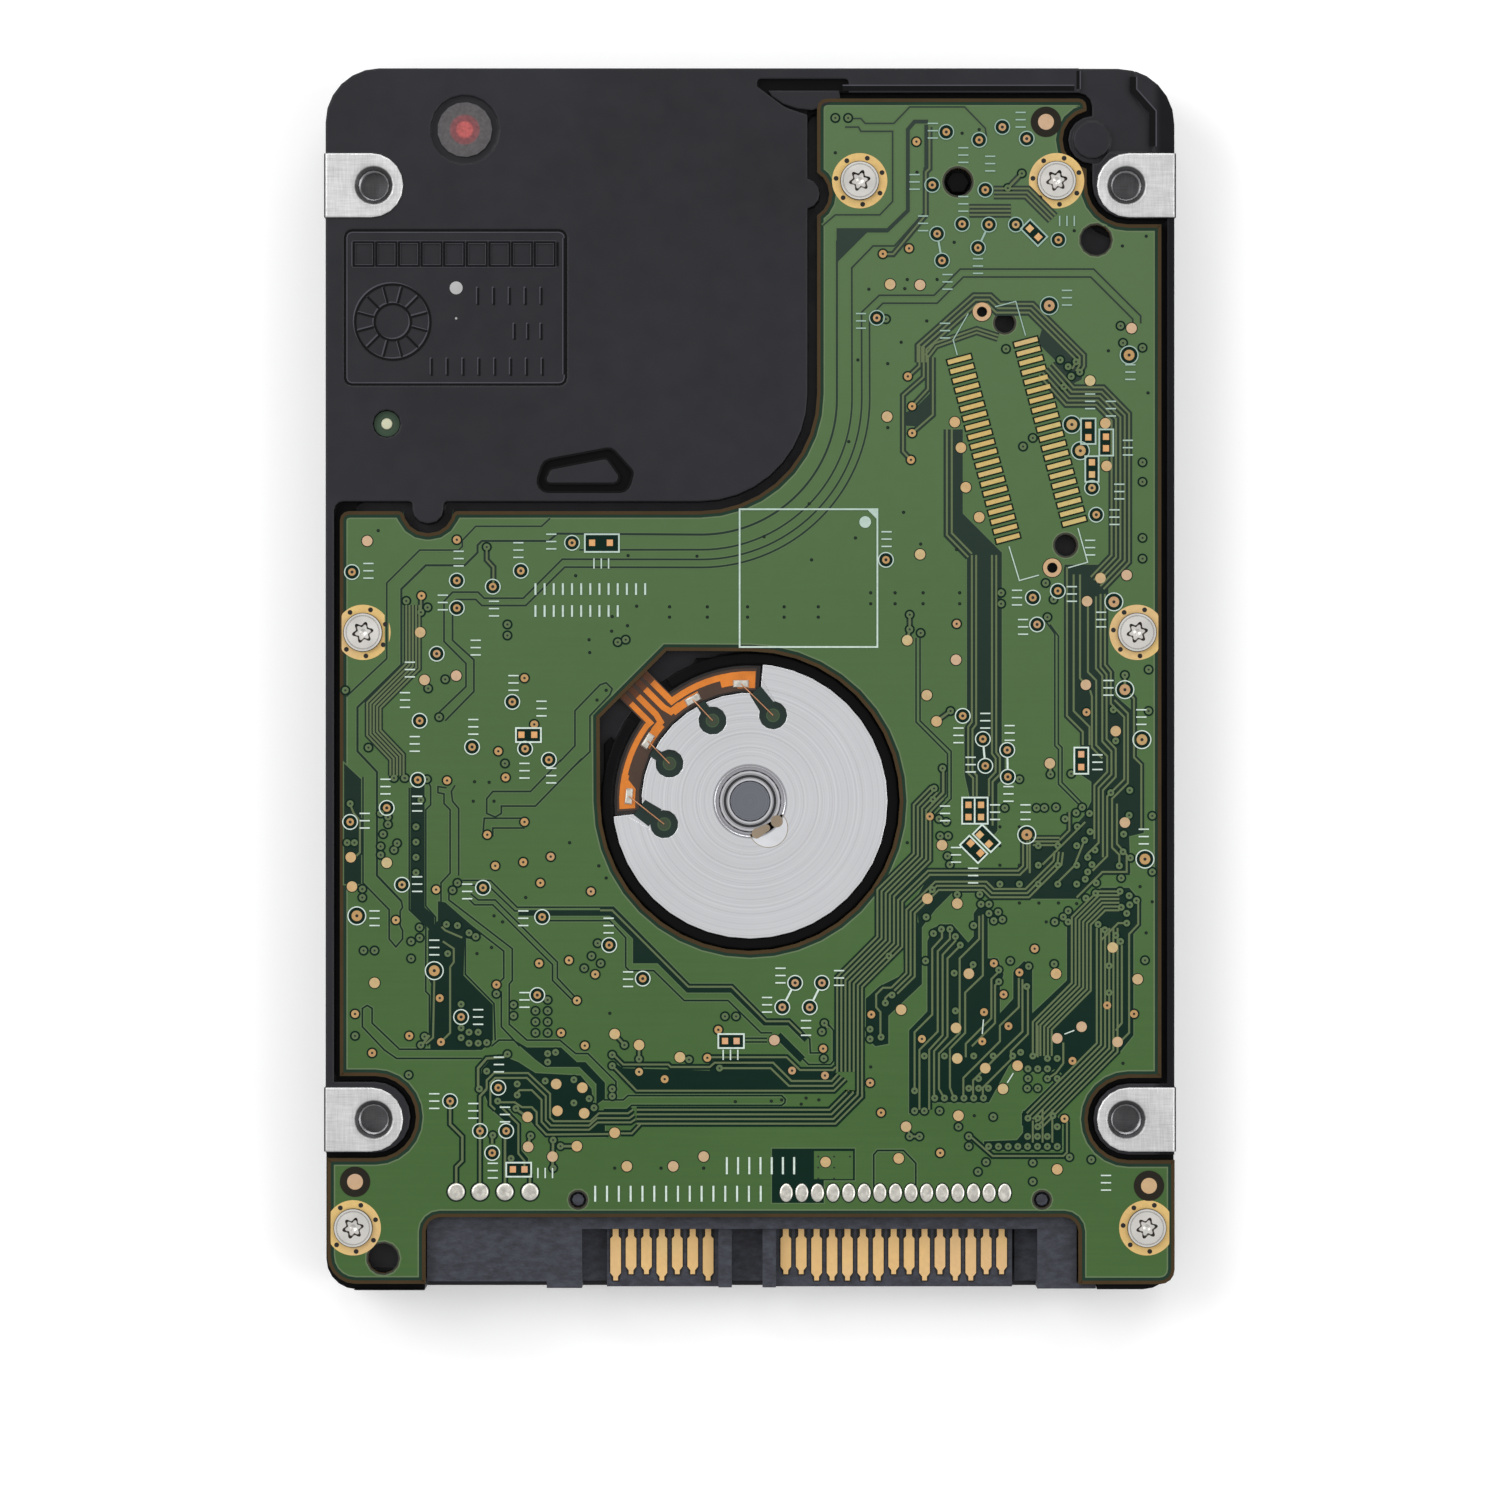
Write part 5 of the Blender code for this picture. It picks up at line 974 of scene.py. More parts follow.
TENTED_HOLES = [  # small holes closed by the mask
    (32.2, 17.8), (32.2, 16.2), (32.2, 11.6), (32.2, 9.9), (30.4, 29.0), (30.6, 27.6), (32.2, 27.2),
    (22.4, 19.1), (23.2, 19.8), (21.0, 27.1), (13.1, -37.5), (13.9, -37.5), (17.1, -36.7), (17.95, -37.5),
    (17.95, -38.3), (19.57, -38.32), (20.38, -38.32), (21.18, -38.32), (21.97, -38.32), (22.77, -38.32),
    (23.58, -38.32), (24.39, -38.32), (25.2, -38.32), (22.77, -37.5), (23.58, -37.5), (24.39, -37.5),
    (23.6, -36.7), (25.2, -36.7), (19.36, -39.6), (18.7, -40.4), (23.2, -39.65), (26.2, -39.2),
    (28.0, -39.4), (23.2, -41.2), (7.0, 46.05), (8.05, 46.05), (11.15, 29.55), (21.15, 40.3), (22.3, 41.5),
    (-28.2, 6.43), (-26.45, 5.9), (-27.0, 5.5), (-19.9, 4.5), (-19.9, 3.6), (-10.85, 3.05), (-10.2, 3.25),
    (-25.0, 0.0), (-26.4, -0.75), (-25.5, -3.1), (-20.1, -6.9), (-31.3, -5.6), (-28.35, -8.1),
    (-21.6, 10.85), (-33.2, -0.9), (25.45, 26.2), (26.1, 25.65), (26.75, 26.05), (27.05, 25.2),
    (26.35, 24.85), (25.75, 24.0), (-30.3, -11.0), (-29.7, -11.3), (-29.7, -11.9), (-30.1, -12.7),
    (-28.95, -13.45), (-30.3, -13.7), (-29.2, -14.0), (-30.3, -14.4), (-28.3, -8.1), (-29.2, -8.1),
    (-26.5, -8.2), (-31.8, -17.2), (-31.8, -17.9), (-24.4, -17.3), (-24.0, -16.7), (-31.7, -22.25),
    (-30.8, -22.25), (-27.1, -20.35), (-27.1, -21.2), (-27.8, -21.5), (-27.8, -22.9), (-32.4, -29.25),
    (-26.7, -29.3), (-12.5, -21.65), (-13.0, -22.7), (-12.25, -23.3), (-13.6, -23.7), (-19.4, -26.7),
    (-19.4, -27.6), (-17.6, -27.2), (-17.6, -28.1), (-17.6, -29.0), (-16.6, -26.3), (-16.6, -27.2),
    (-16.6, -28.1), (-16.6, -29.0), (-27.4, -12.1), (-27.4, -13.35), (-27.4, -14.6), (-27.4, -15.85),
    (-27.0, -9.9), (-32.8, -10.2), (-33.05, -13.4), (-32.45, -13.4), (-24.9, -20.1), (-24.0, -20.2),
    (-23.05, -20.8), (-22.5, -21.1), (-24.8, -22.5), (-23.7, -26.65), (-23.7, -28.6), (-23.7, -29.4),
    (-23.05, -28.95), (-22.3, -28.95), (-23.05, -29.85), (-22.3, -29.85), (30.35, -17.4), (31.1, -17.75),
    (31.7, -18.15), (31.15, -18.5), (30.45, -18.7), (30.9, -19.2), (30.9, -20.0), (28.55, -20.1),
    (29.1, -20.55), (30.0, -21.0), (30.4, -21.5), (20.9, -10.55), (23.5, -10.55), (24.15, -10.55),
    (25.1, -10.5), (25.85, -11.45), (26.75, -10.95), (27.25, -10.5), (27.85, -11.0), (26.85, -12.1),
    (27.9, -12.5), (27.45, -13.2), (23.65, -13.65), (25.25, -13.65), (26.8, -13.65), (28.3, -14.0),
    (27.7, -14.6), (28.05, -15.2), (27.7, -15.8), (27.5, -16.4), (28.4, -16.7), (23.65, -15.25),
    (25.25, -15.25), (26.8, -15.25), (20.5, -16.8), (22.1, -16.8), (23.65, -16.8), (25.25, -16.8),
    (26.8, -16.8), (28.35, -17.55), (27.55, -17.95), (31.1, -11.15), (30.65, -12.7), (30.6, -14.15),
    (30.3, -15.3), (30.45, -16.3), (31.2, -14.65), (33.0, -11.2), (33.0, -15.8), (18.85, -17.65),
    (18.95, -18.45), (19.6, -18.45), (19.6, -19.2), (20.35, -19.1), (20.0, -19.8), (20.7, -19.7),
    (18.35, -20.2), (25.0, -19.9), (25.7, -19.5), (26.1, -19.0), (26.1, -19.9), (14.45, -19.5),
    (15.05, -20.85), (15.7, -20.5), (16.4, -20.5), (16.85, -21.1), (17.25, -21.8), (11.4, -22.7),
    (15.5, -11.45), (16.1, -11.7), (15.6, -12.85), (16.25, -12.85), (16.2, -14.5), (16.4, -15.2),
    (17.0, -17.65), (14.95, -17.25), (11.65, -25.9), (11.1, -26.55), (9.85, -28.7), (9.85, -29.5),
    (10.75, -29.35), (18.3, -23.4), (16.75, -24.1), (21.35, -23.1), (20.4, -23.85), (22.85, -23.55),
    (20.4, -24.8), (22.7, -25.2), (24.95, -23.35), (16.85, -27.2), (29.45, -23.5), (29.45, -25.7),
    (32.4, -23.05), (14.3, -30.9), (15.95, -30.9), (18.35, -30.9), (19.95, -30.9), (21.55, -30.9),
    (22.2, -30.6), (23.2, -30.9), (24.4, -31.1), (25.2, -31.1), (22.8, -31.95), (23.6, -31.95),
    (24.4, -31.95), (22.8, -32.75), (24.4, -32.75), (25.2, -32.75), (18.75, -32.75), (17.95, -33.55),
    (18.75, -33.55), (19.55, -33.55), (22.75, -33.55), (23.6, -33.55), (13.5, -33.75), (15.15, -34.35),
    (15.95, -34.35), (16.75, -34.35), (17.55, -34.35), (18.35, -34.35), (19.15, -34.35), (13.5, -35.4),
    (14.3, -35.4), (15.55, -35.4), (22.8, -36.0), (23.6, -36.0), (24.85, -35.8), (19.95, -35.9),
    (14.4, -23.1), (13.1, 5.3), (13.1, 4.1), (14.0, 3.8), (16.45, -2.6), (15.8, -7.3), (15.1, -8.95),
    (15.0, -9.85), (24.25, 7.9), (24.9, 6.55), (24.4, 5.1), (32.7, 0.8), (30.75, 0.35), (32.7, -2.6),
    (29.8, -2.5), (30.0, -5.05), (22.1, -8.2), (26.35, -7.75), (24.65, -7.8), (29.6, -9.3), (31.15, -9.1),
    (20.6, 7.1), (20.6, 6.2), (-28.0, -32.45), (-27.0, -30.0), (-21.6, -29.8), (-19.9, -30.75),
    (-21.6, -32.15), (-22.2, -33.6), (-19.1, -33.2), (-19.1, -34.1), (-20.7, -34.6), (-19.2, -35.2),
    (-16.6, -30.7), (-15.95, -30.6), (-16.6, -31.4), (-20.8, -25.8), (-11.3, -30.8), (-11.3, -31.7),
    (-16.8, -32.95), (-14.45, -32.85), (-14.45, -34.75), (-13.2, -34.4), (-12.8, -35.15), (-21.1, -37.4),
    (-18.0, -37.45), (-16.15, -37.8), (-15.55, -38.3), (-16.15, -40.1), (-19.6, -39.3), (-10.3, -30.0),
    (-9.1, -31.15), (-5.0, -31.2), (-2.05, -27.65), (-1.15, -27.65), (-2.5, -31.9), (6.1, -28.2),
    (5.9, -28.9), (6.05, -31.1), (-11.3, -33.6), (-11.3, -34.2),
]
DOTS = [
    (-11.8, -0.9), (-12.55, -1.7), (-13.2, 3.25), (-13.15, 2.2), (-11.35, 3.95), (-11.3, 5.15),
    (-10.05, 4.4), (-9.3, 6.0), (-6.6, 5.95), (-3.5, 5.95), (-0.2, 5.95), (2.8, 5.95), (5.6, 5.95),
    (-6.6, 5.1), (-3.5, 5.1), (-0.2, 5.1), (2.8, 5.1), (5.6, 5.1), (9.9, 7.1), (11.9, 7.1), (14.2, 7.1),
    (17.2, 7.1), (9.9, 6.2), (11.9, 6.2), (14.2, 6.2), (17.2, 6.2), (-14.3, 8.5), (-10.0, 10.15),
    (-4.35, 10.1), (1.15, 11.7), (4.85, 14.4), (-11.1, -40.1), (-7.3, -40.1), (-3.8, -40.1), (-1.2, -34.65),
    (1.75, -34.6), (2.6, -34.5), (4.2, -34.85), (4.6, -34.35), (5.65, -34.5), (7.0, 43.2), (17.4, 44.8),
    (18.8, 45.1), (13.7, 41.6), (12.9, 32.8), (12.7, 32.05), (15.35, 32.8), (9.75, 32.0), (16.75, 35.85),
    (14.5, 29.4), (8.85, 26.2), (11.3, 25.9), (12.4, 27.65), (26.6, 36.8), (32.5, 36.35), (30.55, 35.55),
    (29.4, 26.95), (32.65, 23.5), (11.3, 20.65), (8.1, 19.5), (12.6, 13.7), (8.65, 11.6), (5.05, 9.8),
    (14.0, 11.1), (16.95, 10.65), (-30.5, 12.2), (-22.6, -8.4), (-21.4, -8.45), (-22.7, -10.0),
    (-21.0, -10.0), (-14.8, -13.4), (-12.4, -15.3), (-11.8, -16.3), (-18.4, -17.9), (-21.0, -19.4),
    (-20.3, -19.9), (-21.2, -22.0), (-22.4, -22.5), (-11.5, -27.4), (12.9, -13.4), (24.3, -19.9),
    (32.5, -20.8), (30.6, -31.5), (20.5, -12.1), (22.1, -12.1), (20.5, -13.65), (20.5, -15.25),
    (22.1, -15.25), (22.1, -18.35), (23.7, -18.35), (25.3, -18.35), (26.8, -18.4), (32.0, -17.0),
    (33.0, -18.25), (9.9, -31.8), (18.4, -35.8),
]

FRAMED_PADS = [  # printed outlines with small pads inside
    (rectangle((-13.55, 10.45), (-10.75, 11.9)), [(-12.95, 11.2), (-11.5, 11.2)]),
    (rectangle((-19.2, -5.15), (-17.15, -4.0)), [(-18.75, -4.55), (-17.7, -4.55)]),
    (rectangle((17.4, -11.85), (18.43, -9.7)), [(17.92, -10.3), (17.92, -11.3)]),
    (rectangle((18.43, -11.85), (19.5, -9.7)), [(18.95, -10.3), (18.95, -11.3)]),
    (rectangle((26.6, -7.75), (27.75, -5.6)), [(27.17, -6.15), (27.17, -7.2)]),
    (rectangle((-20.0, -40.8), (-17.95, -39.65)), [(-19.45, -40.2), (-18.5, -40.2)]),
    (rectangle((-2.6, -30.25), (-0.5, -29.1)), [(-2.05, -29.67), (-1.1, -29.67)]),
    (rectangle((27.15, 19.3), (28.35, 21.4)), [(27.75, 20.85), (27.75, 19.85)]),
    (rectangle((28.65, 18.35), (29.8, 20.5)), [(29.2, 19.9), (29.2, 18.95)]),
    (rectangle((27.5, 16.2), (28.6, 18.3)), [(28.05, 17.8), (28.05, 16.8)]),
    (turned_box((23.3, 36.63), 2.0, 1.1, -45.0), [(22.95, 36.98), (23.65, 36.28)]),
    (turned_box((18.35, -13.95), 2.1, 1.1, -45.0), [(18.1, -13.45), (18.9, -14.25)]),
    (turned_box((19.4, -13.05), 2.1, 1.1, -45.0), [(18.85, -12.75), (19.6, -13.5)]),
]
CHIP_FRAME = rectangle((-0.85, 2.65), (10.45, 13.95))
PRINTED_LINES = [
    [(16.65, 27.9), (17.0, 26.6)],
    [(17.9, 30.0), (16.7, 27.9)],
    [(20.1, 30.55), (21.8, 31.0), (22.6, 28.2)],
    [(21.25, 10.9), (22.1, 8.1), (23.7, 8.55)],
    [(26.9, 12.4), (27.7, 9.6), (26.1, 9.15)],
    [(19.05, -29.1), (19.15, -27.9)],
    [(25.8, -29.1), (26.6, -28.8)],
    [(21.1, -33.1), (21.6, -32.3)],
]
MARKS = [  # centre and heading of the printed marks, each three plain strokes
    (-29.9, -8.8, 90), (-31.6, -11.6, 90), (-27.3, -10.2, 90), (-27.3, -16.8, 90), (-23.2, -17.4, 90),
    (-30.8, -19.6, 90), (-25.9, -22.0, 90), (-22.3, -27.7, 90), (-18.5, -26.3, 90), (-25.9, -34.6, 90),
    (-22.7, -35.4, 90), (-20.1, -35.7, 90), (-21.1, -40.3, 90), (-16.8, -40.5, 0), (-20.6, -31.6, 90),
    (-10.0, -24.6, 90), (2.5, -24.3, 90), (1.4, -26.7, 90), (7.3, -24.5, 90), (4.6, -28.6, 90),
    (-1.6, -30.8, 0), (-11.6, -20.2, 90), (-18.6, -19.6, 90), (-18.5, -7.5, 90), (-16.3, -7.9, 90),
    (16.0, -11.0, 90), (20.1, -10.9, 90), (16.9, -14.4, 90), (18.3, -16.1, 90), (22.6, -10.9, 90),
    (32.3, -12.9, 90), (21.9, 6.7, 90), (22.4, 4.3, 90), (26.4, 7.0, 90), (28.8, 4.9, 90), (29.4, -0.7, 90),
    (32.1, -3.1, 90), (17.1, -4.6, 90), (19.3, -3.4, 90), (18.1, -7.0, 90), (21.3, -4.4, 90),
    (21.2, -9.4, 90), (28.5, -6.8, 90), (15.0, 45.0, 90), (17.5, 43.0, 90), (19.7, 42.3, 90),
    (22.2, 45.9, 90), (13.5, 40.8, 90), (17.5, 39.0, 90), (14.2, 37.4, 90), (16.2, 32.6, 90),
    (26.0, 37.6, 0), (26.0, 31.3, 90), (31.2, 25.2, 90), (9.1, 29.4, 90), (11.2, 11.5, 90),
    (27.9, 22.8, 90), (29.6, 22.2, 90), (31.0, 19.0, 90), (30.3, 15.4, 90), (29.9, 13.3, 90),
    (16.0, 28.6, 90), (27.9, 10.8, 90), (-31.3, 8.9, 90), (-23.9, 9.9, 90), (-19.0, 10.6, 90),
    (-21.0, 5.8, 90), (-16.3, 11.3, 90), (-12.2, 9.5, 0), (-25.2, 6.3, 90), (-22.5, 2.6, 90),
    (-19.4, -0.3, 90), (-27.5, -5.3, 90), (-28.3, -1.7, 90), (-22.7, -3.9, 90), (-17.1, -2.4, 90),
    (-27.9, 0.8, 90), (29.2, -41.3, 90), (18.7, 33.9, 90),
]


def layer(name, material, level, slot="board_green"):
    """A printed layer. Its top is level times LAYER above the board, and it reaches down into the board."""
    return Sheet(name, material, BOARD_TOP - LAYER, BOARD_TOP + level * LAYER, slot)


def row_of_marks(sheet, start, end, height, step):
    """A row of plain upright strokes."""
    for index in range(round((end[0] - start[0]) / step) + 1):
        x = start[0] + index * step
        sheet.line([(x, start[1] - height / 2.0), (x, start[1] + height / 2.0)], 0.16)


def draw_pour():
    """The copper under light mask: the board's own outline, moved in, with a painted highlight along its rims
    and a cut edge.
    """
    mask = solder_mask("mask_over_copper", tone(62, 94, 46), painted_sheen=1.0)
    outlines = edge_loops("circuit_board", BOARD_TOP)
    opening = max(outlines[1:], key=len)
    loops = [inset(outline, 0.6 if outline in (outlines[0], opening) else 0.2) for outline in outlines]
    filled("copper_pour", mask, loops, BOARD_TOP - LAYER, BOARD_TOP + LAYER)
    # A painted highlight: a paler line of mask along each edge of the pour.
    rim = layer("pour_rim_highlight", solder_mask("mask_rim_highlight", tone(92, 112, 78)), 1.3)
    for outline in loops:
        rim.loop(outline, 0.12)
    rim.build()
    fibre = coated("cut_fibre", tone(62, 46, 22), 0.6, 4.0, 0.01, Specular_IOR_Level=0.2)
    cut = layer("cut_edge", fibre, 0.8)
    for outline in (outlines[0], opening):
        cut.loop(inset(outline, 0.15), 0.28)
    cut.build()


def draw_copper():
    """Slits, bare areas, the lines of copper in them, and a painted highlight along each copper edge."""
    # A painted highlight: a paler line of mask along each edge of the copper.
    edge_highlight = layer("slit_edge_highlights", solder_mask("mask_edge_highlight", tone(80, 104, 66)), 1.6)
    bare = layer("bare_areas", solder_mask("mask_over_bare", tone(2, 34, 24), shine=0.12, painted_sheen=0.8), 2.0)
    lines = layer("copper_lines", solder_mask("mask_over_lines", tone(90, 104, 70)), 3.0)
    for radius, width, upper, lower in ARCS:
        path = upper[::-1] + arc(ARC_CENTRE, radius, 0.0, -90.0, 3.0) + lower
        edge_highlight.line(path, width + 0.2)
        bare.line(path, width)
    for path in SLITS:
        edge_highlight.line(path, 0.34)
        bare.line(path, 0.13)
    for width, path in WIDE_SLITS:
        edge_highlight.line(path, width + 0.2)
        bare.line(path, width)
    for outline in BARE:
        edge_highlight.loop(outline, 0.2)
        bare.plate(outline)
    for path in TRACES:
        bare.line(path, 0.5)
        lines.line(path, 0.16)
    for path in LINKED:
        bare.line(path, 0.52)
        lines.line(path, 0.2)
    for count, pitch, path in BUNDLES:
        middle = beside(path, pitch * (count - 1) / 2.0)
        bare.line(middle, abs(pitch) * count + 0.14)
        for index in range(count):
            lines.line(beside(path, pitch * index), 0.16)
    build_all(edge_highlight, bare, lines)


def draw_holes():
    """Pads and holes: closed by mask, plated, and the probed ones with a printed ring."""
    gap = layer("pad_gaps", solder_mask("mask_in_gaps", tone(4, 32, 24), shine=0.12), 2.5)
    pads = layer("masked_pads", solder_mask("mask_over_pads", tone(86, 106, 70)), 3.4)
    gold = layer("gold_pads", gold_plate("probed_gold", tone(190, 150, 98), 0.42, 0.25), 4.0, "contact_gold")
    bores = layer("hole_mouths", coated("hole_shadow", tone(8, 10, 9), 0.7), 5.0)
    rings = layer("printed_rings", silk_ink(), 5.5)
    for centre in TENTED_HOLES:
        gap.disc(centre, 0.42)
        pads.disc(centre, 0.28, 16)
        bores.disc(centre, 0.085, 10)
    for centre in DOTS:
        gap.disc(centre, 0.13, 12)
        bores.disc(centre, 0.07, 10)
    for centre in PLATED_HOLES:
        gap.disc(centre, 0.45)
        gold.disc(centre, 0.32)
        bores.disc(centre, 0.1, 12)
    for centres, size in ((RINGED_POINTS, 0.0), (WIDE_RINGED_POINTS, 0.13)):
        for centre in centres:
            gap.disc(centre, 0.55 + size)
            gold.disc(centre, 0.31 + size)
            bores.disc(centre, 0.13, 12)
            rings.ring(centre, 0.56 + size, 0.65 + size, 28)
    stained = gold_plate("test_pad_gold", tone(202, 174, 130), 0.42, 0.55)
    dots = layer("test_pads", stained, 4.0, "contact_gold")
    for centre in TEST_DOTS:
        gap.disc(centre, 0.5)
        dots.disc(centre, 0.43, 24)
    build_all(gap, pads, gold, dots, bores, rings)


def draw_print():
    """The printed ink: outlines, links and plain strokes in place of the labels."""
    ink = layer("printed_ink", silk_ink(), 5.2)
    gold = layer("chip_pads", gold_plate("pad_gold", tone(226, 168, 112), 0.45), 4.0, "contact_gold")
    ground = layer("chip_pad_gaps", solder_mask("mask_round_pads", tone(4, 32, 24), shine=0.12), 2.8)
    for outline, pads in FRAMED_PADS:
        ink.loop(facing_up(outline), 0.13)
        ground.plate(outline)
        along = math.degrees(math.atan2(outline[1][1] - outline[0][1], outline[1][0] - outline[0][0]))
        for centre in pads:
            gold.plate(turned_box(centre, 0.5, 0.52, along))
    for path in PRINTED_LINES:
        ink.line(path, 0.09)
    for start, end in LINKS:
        reach = np.array(end) - np.array(start)
        step = reach / np.linalg.norm(reach) * 0.62
        ink.line([tuple(np.array(start) + step), tuple(np.array(end) - step)], 0.16)
    ink.loop(CHIP_FRAME, 0.14)
    ink.disc((9.45, 12.9), 0.48)
    ink.plate([(9.6, 13.95), (10.45, 13.1), (10.45, 13.95)])
    for x, y, heading in MARKS:
        for step in (-0.6, 0.0, 0.6):
            centre = polar((x, y), step, heading)
            ink.line([polar(centre, -0.42, heading + 90.0), polar(centre, 0.42, heading + 90.0)], 0.11)
    row_of_marks(ink, (-12.7, -42.2), (0.9, -42.2), 1.3, 0.97)
    row_of_marks(ink, (-1.9, -39.9), (3.6, -39.9), 1.4, 0.92)
    row_of_marks(ink, (-17.6, 7.4), (-8.6, 7.4), 0.95, 0.75)
    row_of_marks(ink, (-17.6, 5.6), (-11.0, 5.6), 0.95, 0.75)
    build_all(ink, gold, ground)


def draw_header_pads():
    """Two slanted columns of twenty narrow pads for the connector on the board's other side."""
    pads = layer("header_pads", gold_plate("header_gold", tone(208, 182, 112), 0.4, 0.3), 4.0, "contact_gold")
    gaps = layer("header_pad_gaps", solder_mask("mask_round_header", tone(6, 26, 18), shine=0.12), 2.8)
    for first, last in (((17.18, 26.24), (21.16, 11.57)), ((22.64, 27.68), (26.6, 12.95))):
        ends = [np.array(first), np.array(last)]
        for index in range(HEADER_PADS):
            centre = tuple(ends[0] + (ends[1] - ends[0]) * index / (HEADER_PADS - 1.0))
            pads.plate(turned_box(centre, 1.95, 0.36, HEADER_TURN))
            gaps.plate(turned_box(centre, 2.2, 0.6, HEADER_TURN))
    build_all(pads, gaps)


def draw_board():
    draw_pour()
    draw_copper()
    draw_holes()
    draw_print()
    draw_header_pads()


# ---------------------------------------------------------------- screws

def star(centre, reach, count=72):
    """A socket with six rounded points."""
    points = []
    for index in range(count):
        angle = 360.0 * index / count
        swell = (0.5 + 0.5 * math.cos(math.radians(6.0 * angle))) ** 1.2
        points.append(polar(centre, reach * (0.66 + 0.34 * swell), angle + 12.0))
    return points


def make_screw(node, centre, outer, inner, tip, radius, material):
    """A flat-headed screw with a turned groove and a six-pointed socket.

    outer, inner and tip are the heights of the head's face, its underside and the screw's end.
    """
    up = 1.0 if outer > inner else -1.0
    count = 72
    stages = [(0.7, tip), (0.7, inner), (radius - 0.06, inner), (radius, inner + 0.06 * up),
              (radius, outer - 0.06 * up), (radius - 0.05, outer), (radius - 0.2, outer),
              (radius - 0.22, outer - 0.03 * up),
              (radius - 0.26, outer - 0.03 * up), (radius - 0.28, outer)]
    body = Sheet(node + "_socketed", material, 0.0, 0.0, "screw_steel")
    rings = [(circle(centre, size, count), height) for size, height in stages]
    rings += [(star(centre, 0.9, count), outer), (star(centre, 0.78, count), outer - 0.12 * up),
              (star(centre, 0.66, count), outer - 0.24 * up), (circle(centre, 0.3, count), outer - 0.25 * up),
              (circle(centre, 0.08, count), outer - 0.32 * up)]
    body.skin(rings)
    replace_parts(body.build(), node)


def make_screws():
    steel = Look("bright_screw_steel", tone(236, 233, 228), 0.36, 1.0)
    flat_face_steel = steel.shade(0.05, steel.noise(0.6, 3.0))
    # Painted shade: faces that slope, such as the socket's walls and the head's sides, are dark; faces that
    # look straight up or down keep the steel's colour.
    steel.paint(steel.mix(steel.joined("MAXIMUM", steel.upward(0.86, 0.98), steel.upward(-0.86, -0.98)),
                          tone(70, 66, 62), flat_face_steel))
    steel.rough(steel.spread(steel.noise(0.7), 0.32, 0.42))
    steel.bumps(steel.noise(2.0, 3.0), 0.05, 0.002)
    for number, centre in enumerate(BOARD_SCREWS, 1):
        make_screw(f"board_screw_{number}", centre, *BOARD_SCREW, steel.material)
    for number, centre in enumerate(COVER_SCREWS, 1):
        make_screw(f"cover_screw_{number}", centre, *COVER_SCREW, steel.material)


def make_screw_pads():
    """Gold rings under the board screws, each with seven holes."""
    plate = gold_plate("screw_pad_gold", tone(236, 200, 128), 0.35, 0.3)
    gold = layer("screw_pads", plate, 1.8, "contact_gold")
    holes = layer("screw_pad_holes", coated("pad_hole_shadow", tone(10, 9, 8), 0.7), 2.4)
    for centre in BOARD_SCREWS:
        edge = 33.5 if centre[1] > -20.0 else 34.4
        near = circle(centre, 1.0, 60)
        far = [(max(-edge, min(edge, x)), y) for x, y in circle(centre, 2.27, 60)]
        gold.skin([(far, gold.low), (far, gold.high), (near, gold.high), (near, gold.low)], closed=True)
        for index in range(7):
            place = polar(centre, 1.95, 20.0 + index * 360.0 / 7.0)
            if abs(place[0]) < edge - 0.2:
                holes.disc(place, 0.2, 14)
    gold.build()
    holes.build()


# ---------------------------------------------------------------- solder and rings on the board

def dome(sheet, centre, half_x, half_y, height, base):
    """A low mound of solder with a dimple in its middle."""
    stages = [(1.0, 0.0), (1.0, 0.4), (0.93, 0.75), (0.78, 0.97), (0.6, 1.0), (0.42, 0.9), (0.22, 0.78)]
    oval = circle((0.0, 0.0), 1.0, 28)
    sheet.skin([([(centre[0] + x * half_x * share, centre[1] + y * half_y * share) for x, y in oval],
                 base + height * level) for share, level in stages])


def make_solder():
    solder = Sheet("solder_mounds", solder_metal(), 0.0, 0.0, "contact_gold")
    gap = layer("solder_gaps", solder_mask("mask_round_solder", tone(6, 30, 22), shine=0.15), 2.6)
    for index in range(15):
        centre = (2.97 + 1.28 * index, -42.12)
        gap.plate([(centre[0] + 0.62 * x, centre[1] + 0.83 * y) for x, y in circle((0.0, 0.0), 1.0, 28)])
        dome(solder, centre, 0.535, 0.74, 0.13, BOARD_TOP)
    for x in (-24.1, -22.15, -20.1, -18.05):
        gap.disc((x, -42.04), 0.82, 28)
        dome(solder, (x, -42.04), 0.7, 0.7, 0.16, BOARD_TOP)
    solder.build(smooth=True)
    gap.build()
    pad = layer("light_pad", solder_mask("mask_over_pad", tone(62, 94, 46)), 2.3)
    pad.plate(rectangle((5.25, -41.0), (8.45, -38.7)))
    pad.build()
    holes = layer("light_pad_holes", coated("small_hole_shadow", tone(8, 10, 9), 0.7), 2.9)
    for x, y in ((5.6, -39.15), (6.9, -39.15), (8.2, -39.15), (5.6, -40.05), (6.9, -40.05), (5.6, -40.95),
                 (6.9, -40.95)):
        holes.disc((x, y), 0.08, 10)
    holes.build()


def make_targets():
    """Round pads that the assembly machines look for, and the two ringed holes of the header."""
    fibre = coated("bare_fibre", tone(28, 24, 14), 0.6, 4.0, 0.01, Specular_IOR_Level=0.2)
    ground = layer("target_grounds", fibre, 2.2)
    gold = layer("target_pads", gold_plate("target_gold", tone(206, 172, 138), 0.4), 3.2, "contact_gold")
    for centre in ((24.28, 45.73), (-32.4, -41.22), (32.73, -41.55)):
        ground.disc(centre, 1.25, 36)
        gold.disc(centre, 0.65, 28)
    for centre in ((19.03, 30.15), (24.8, 9.15)):
        ground.ring(centre, 0.42, 0.82, 32)
        gold.ring(centre, 0.43, 0.76, 32)
    ground.build()
    gold.build()


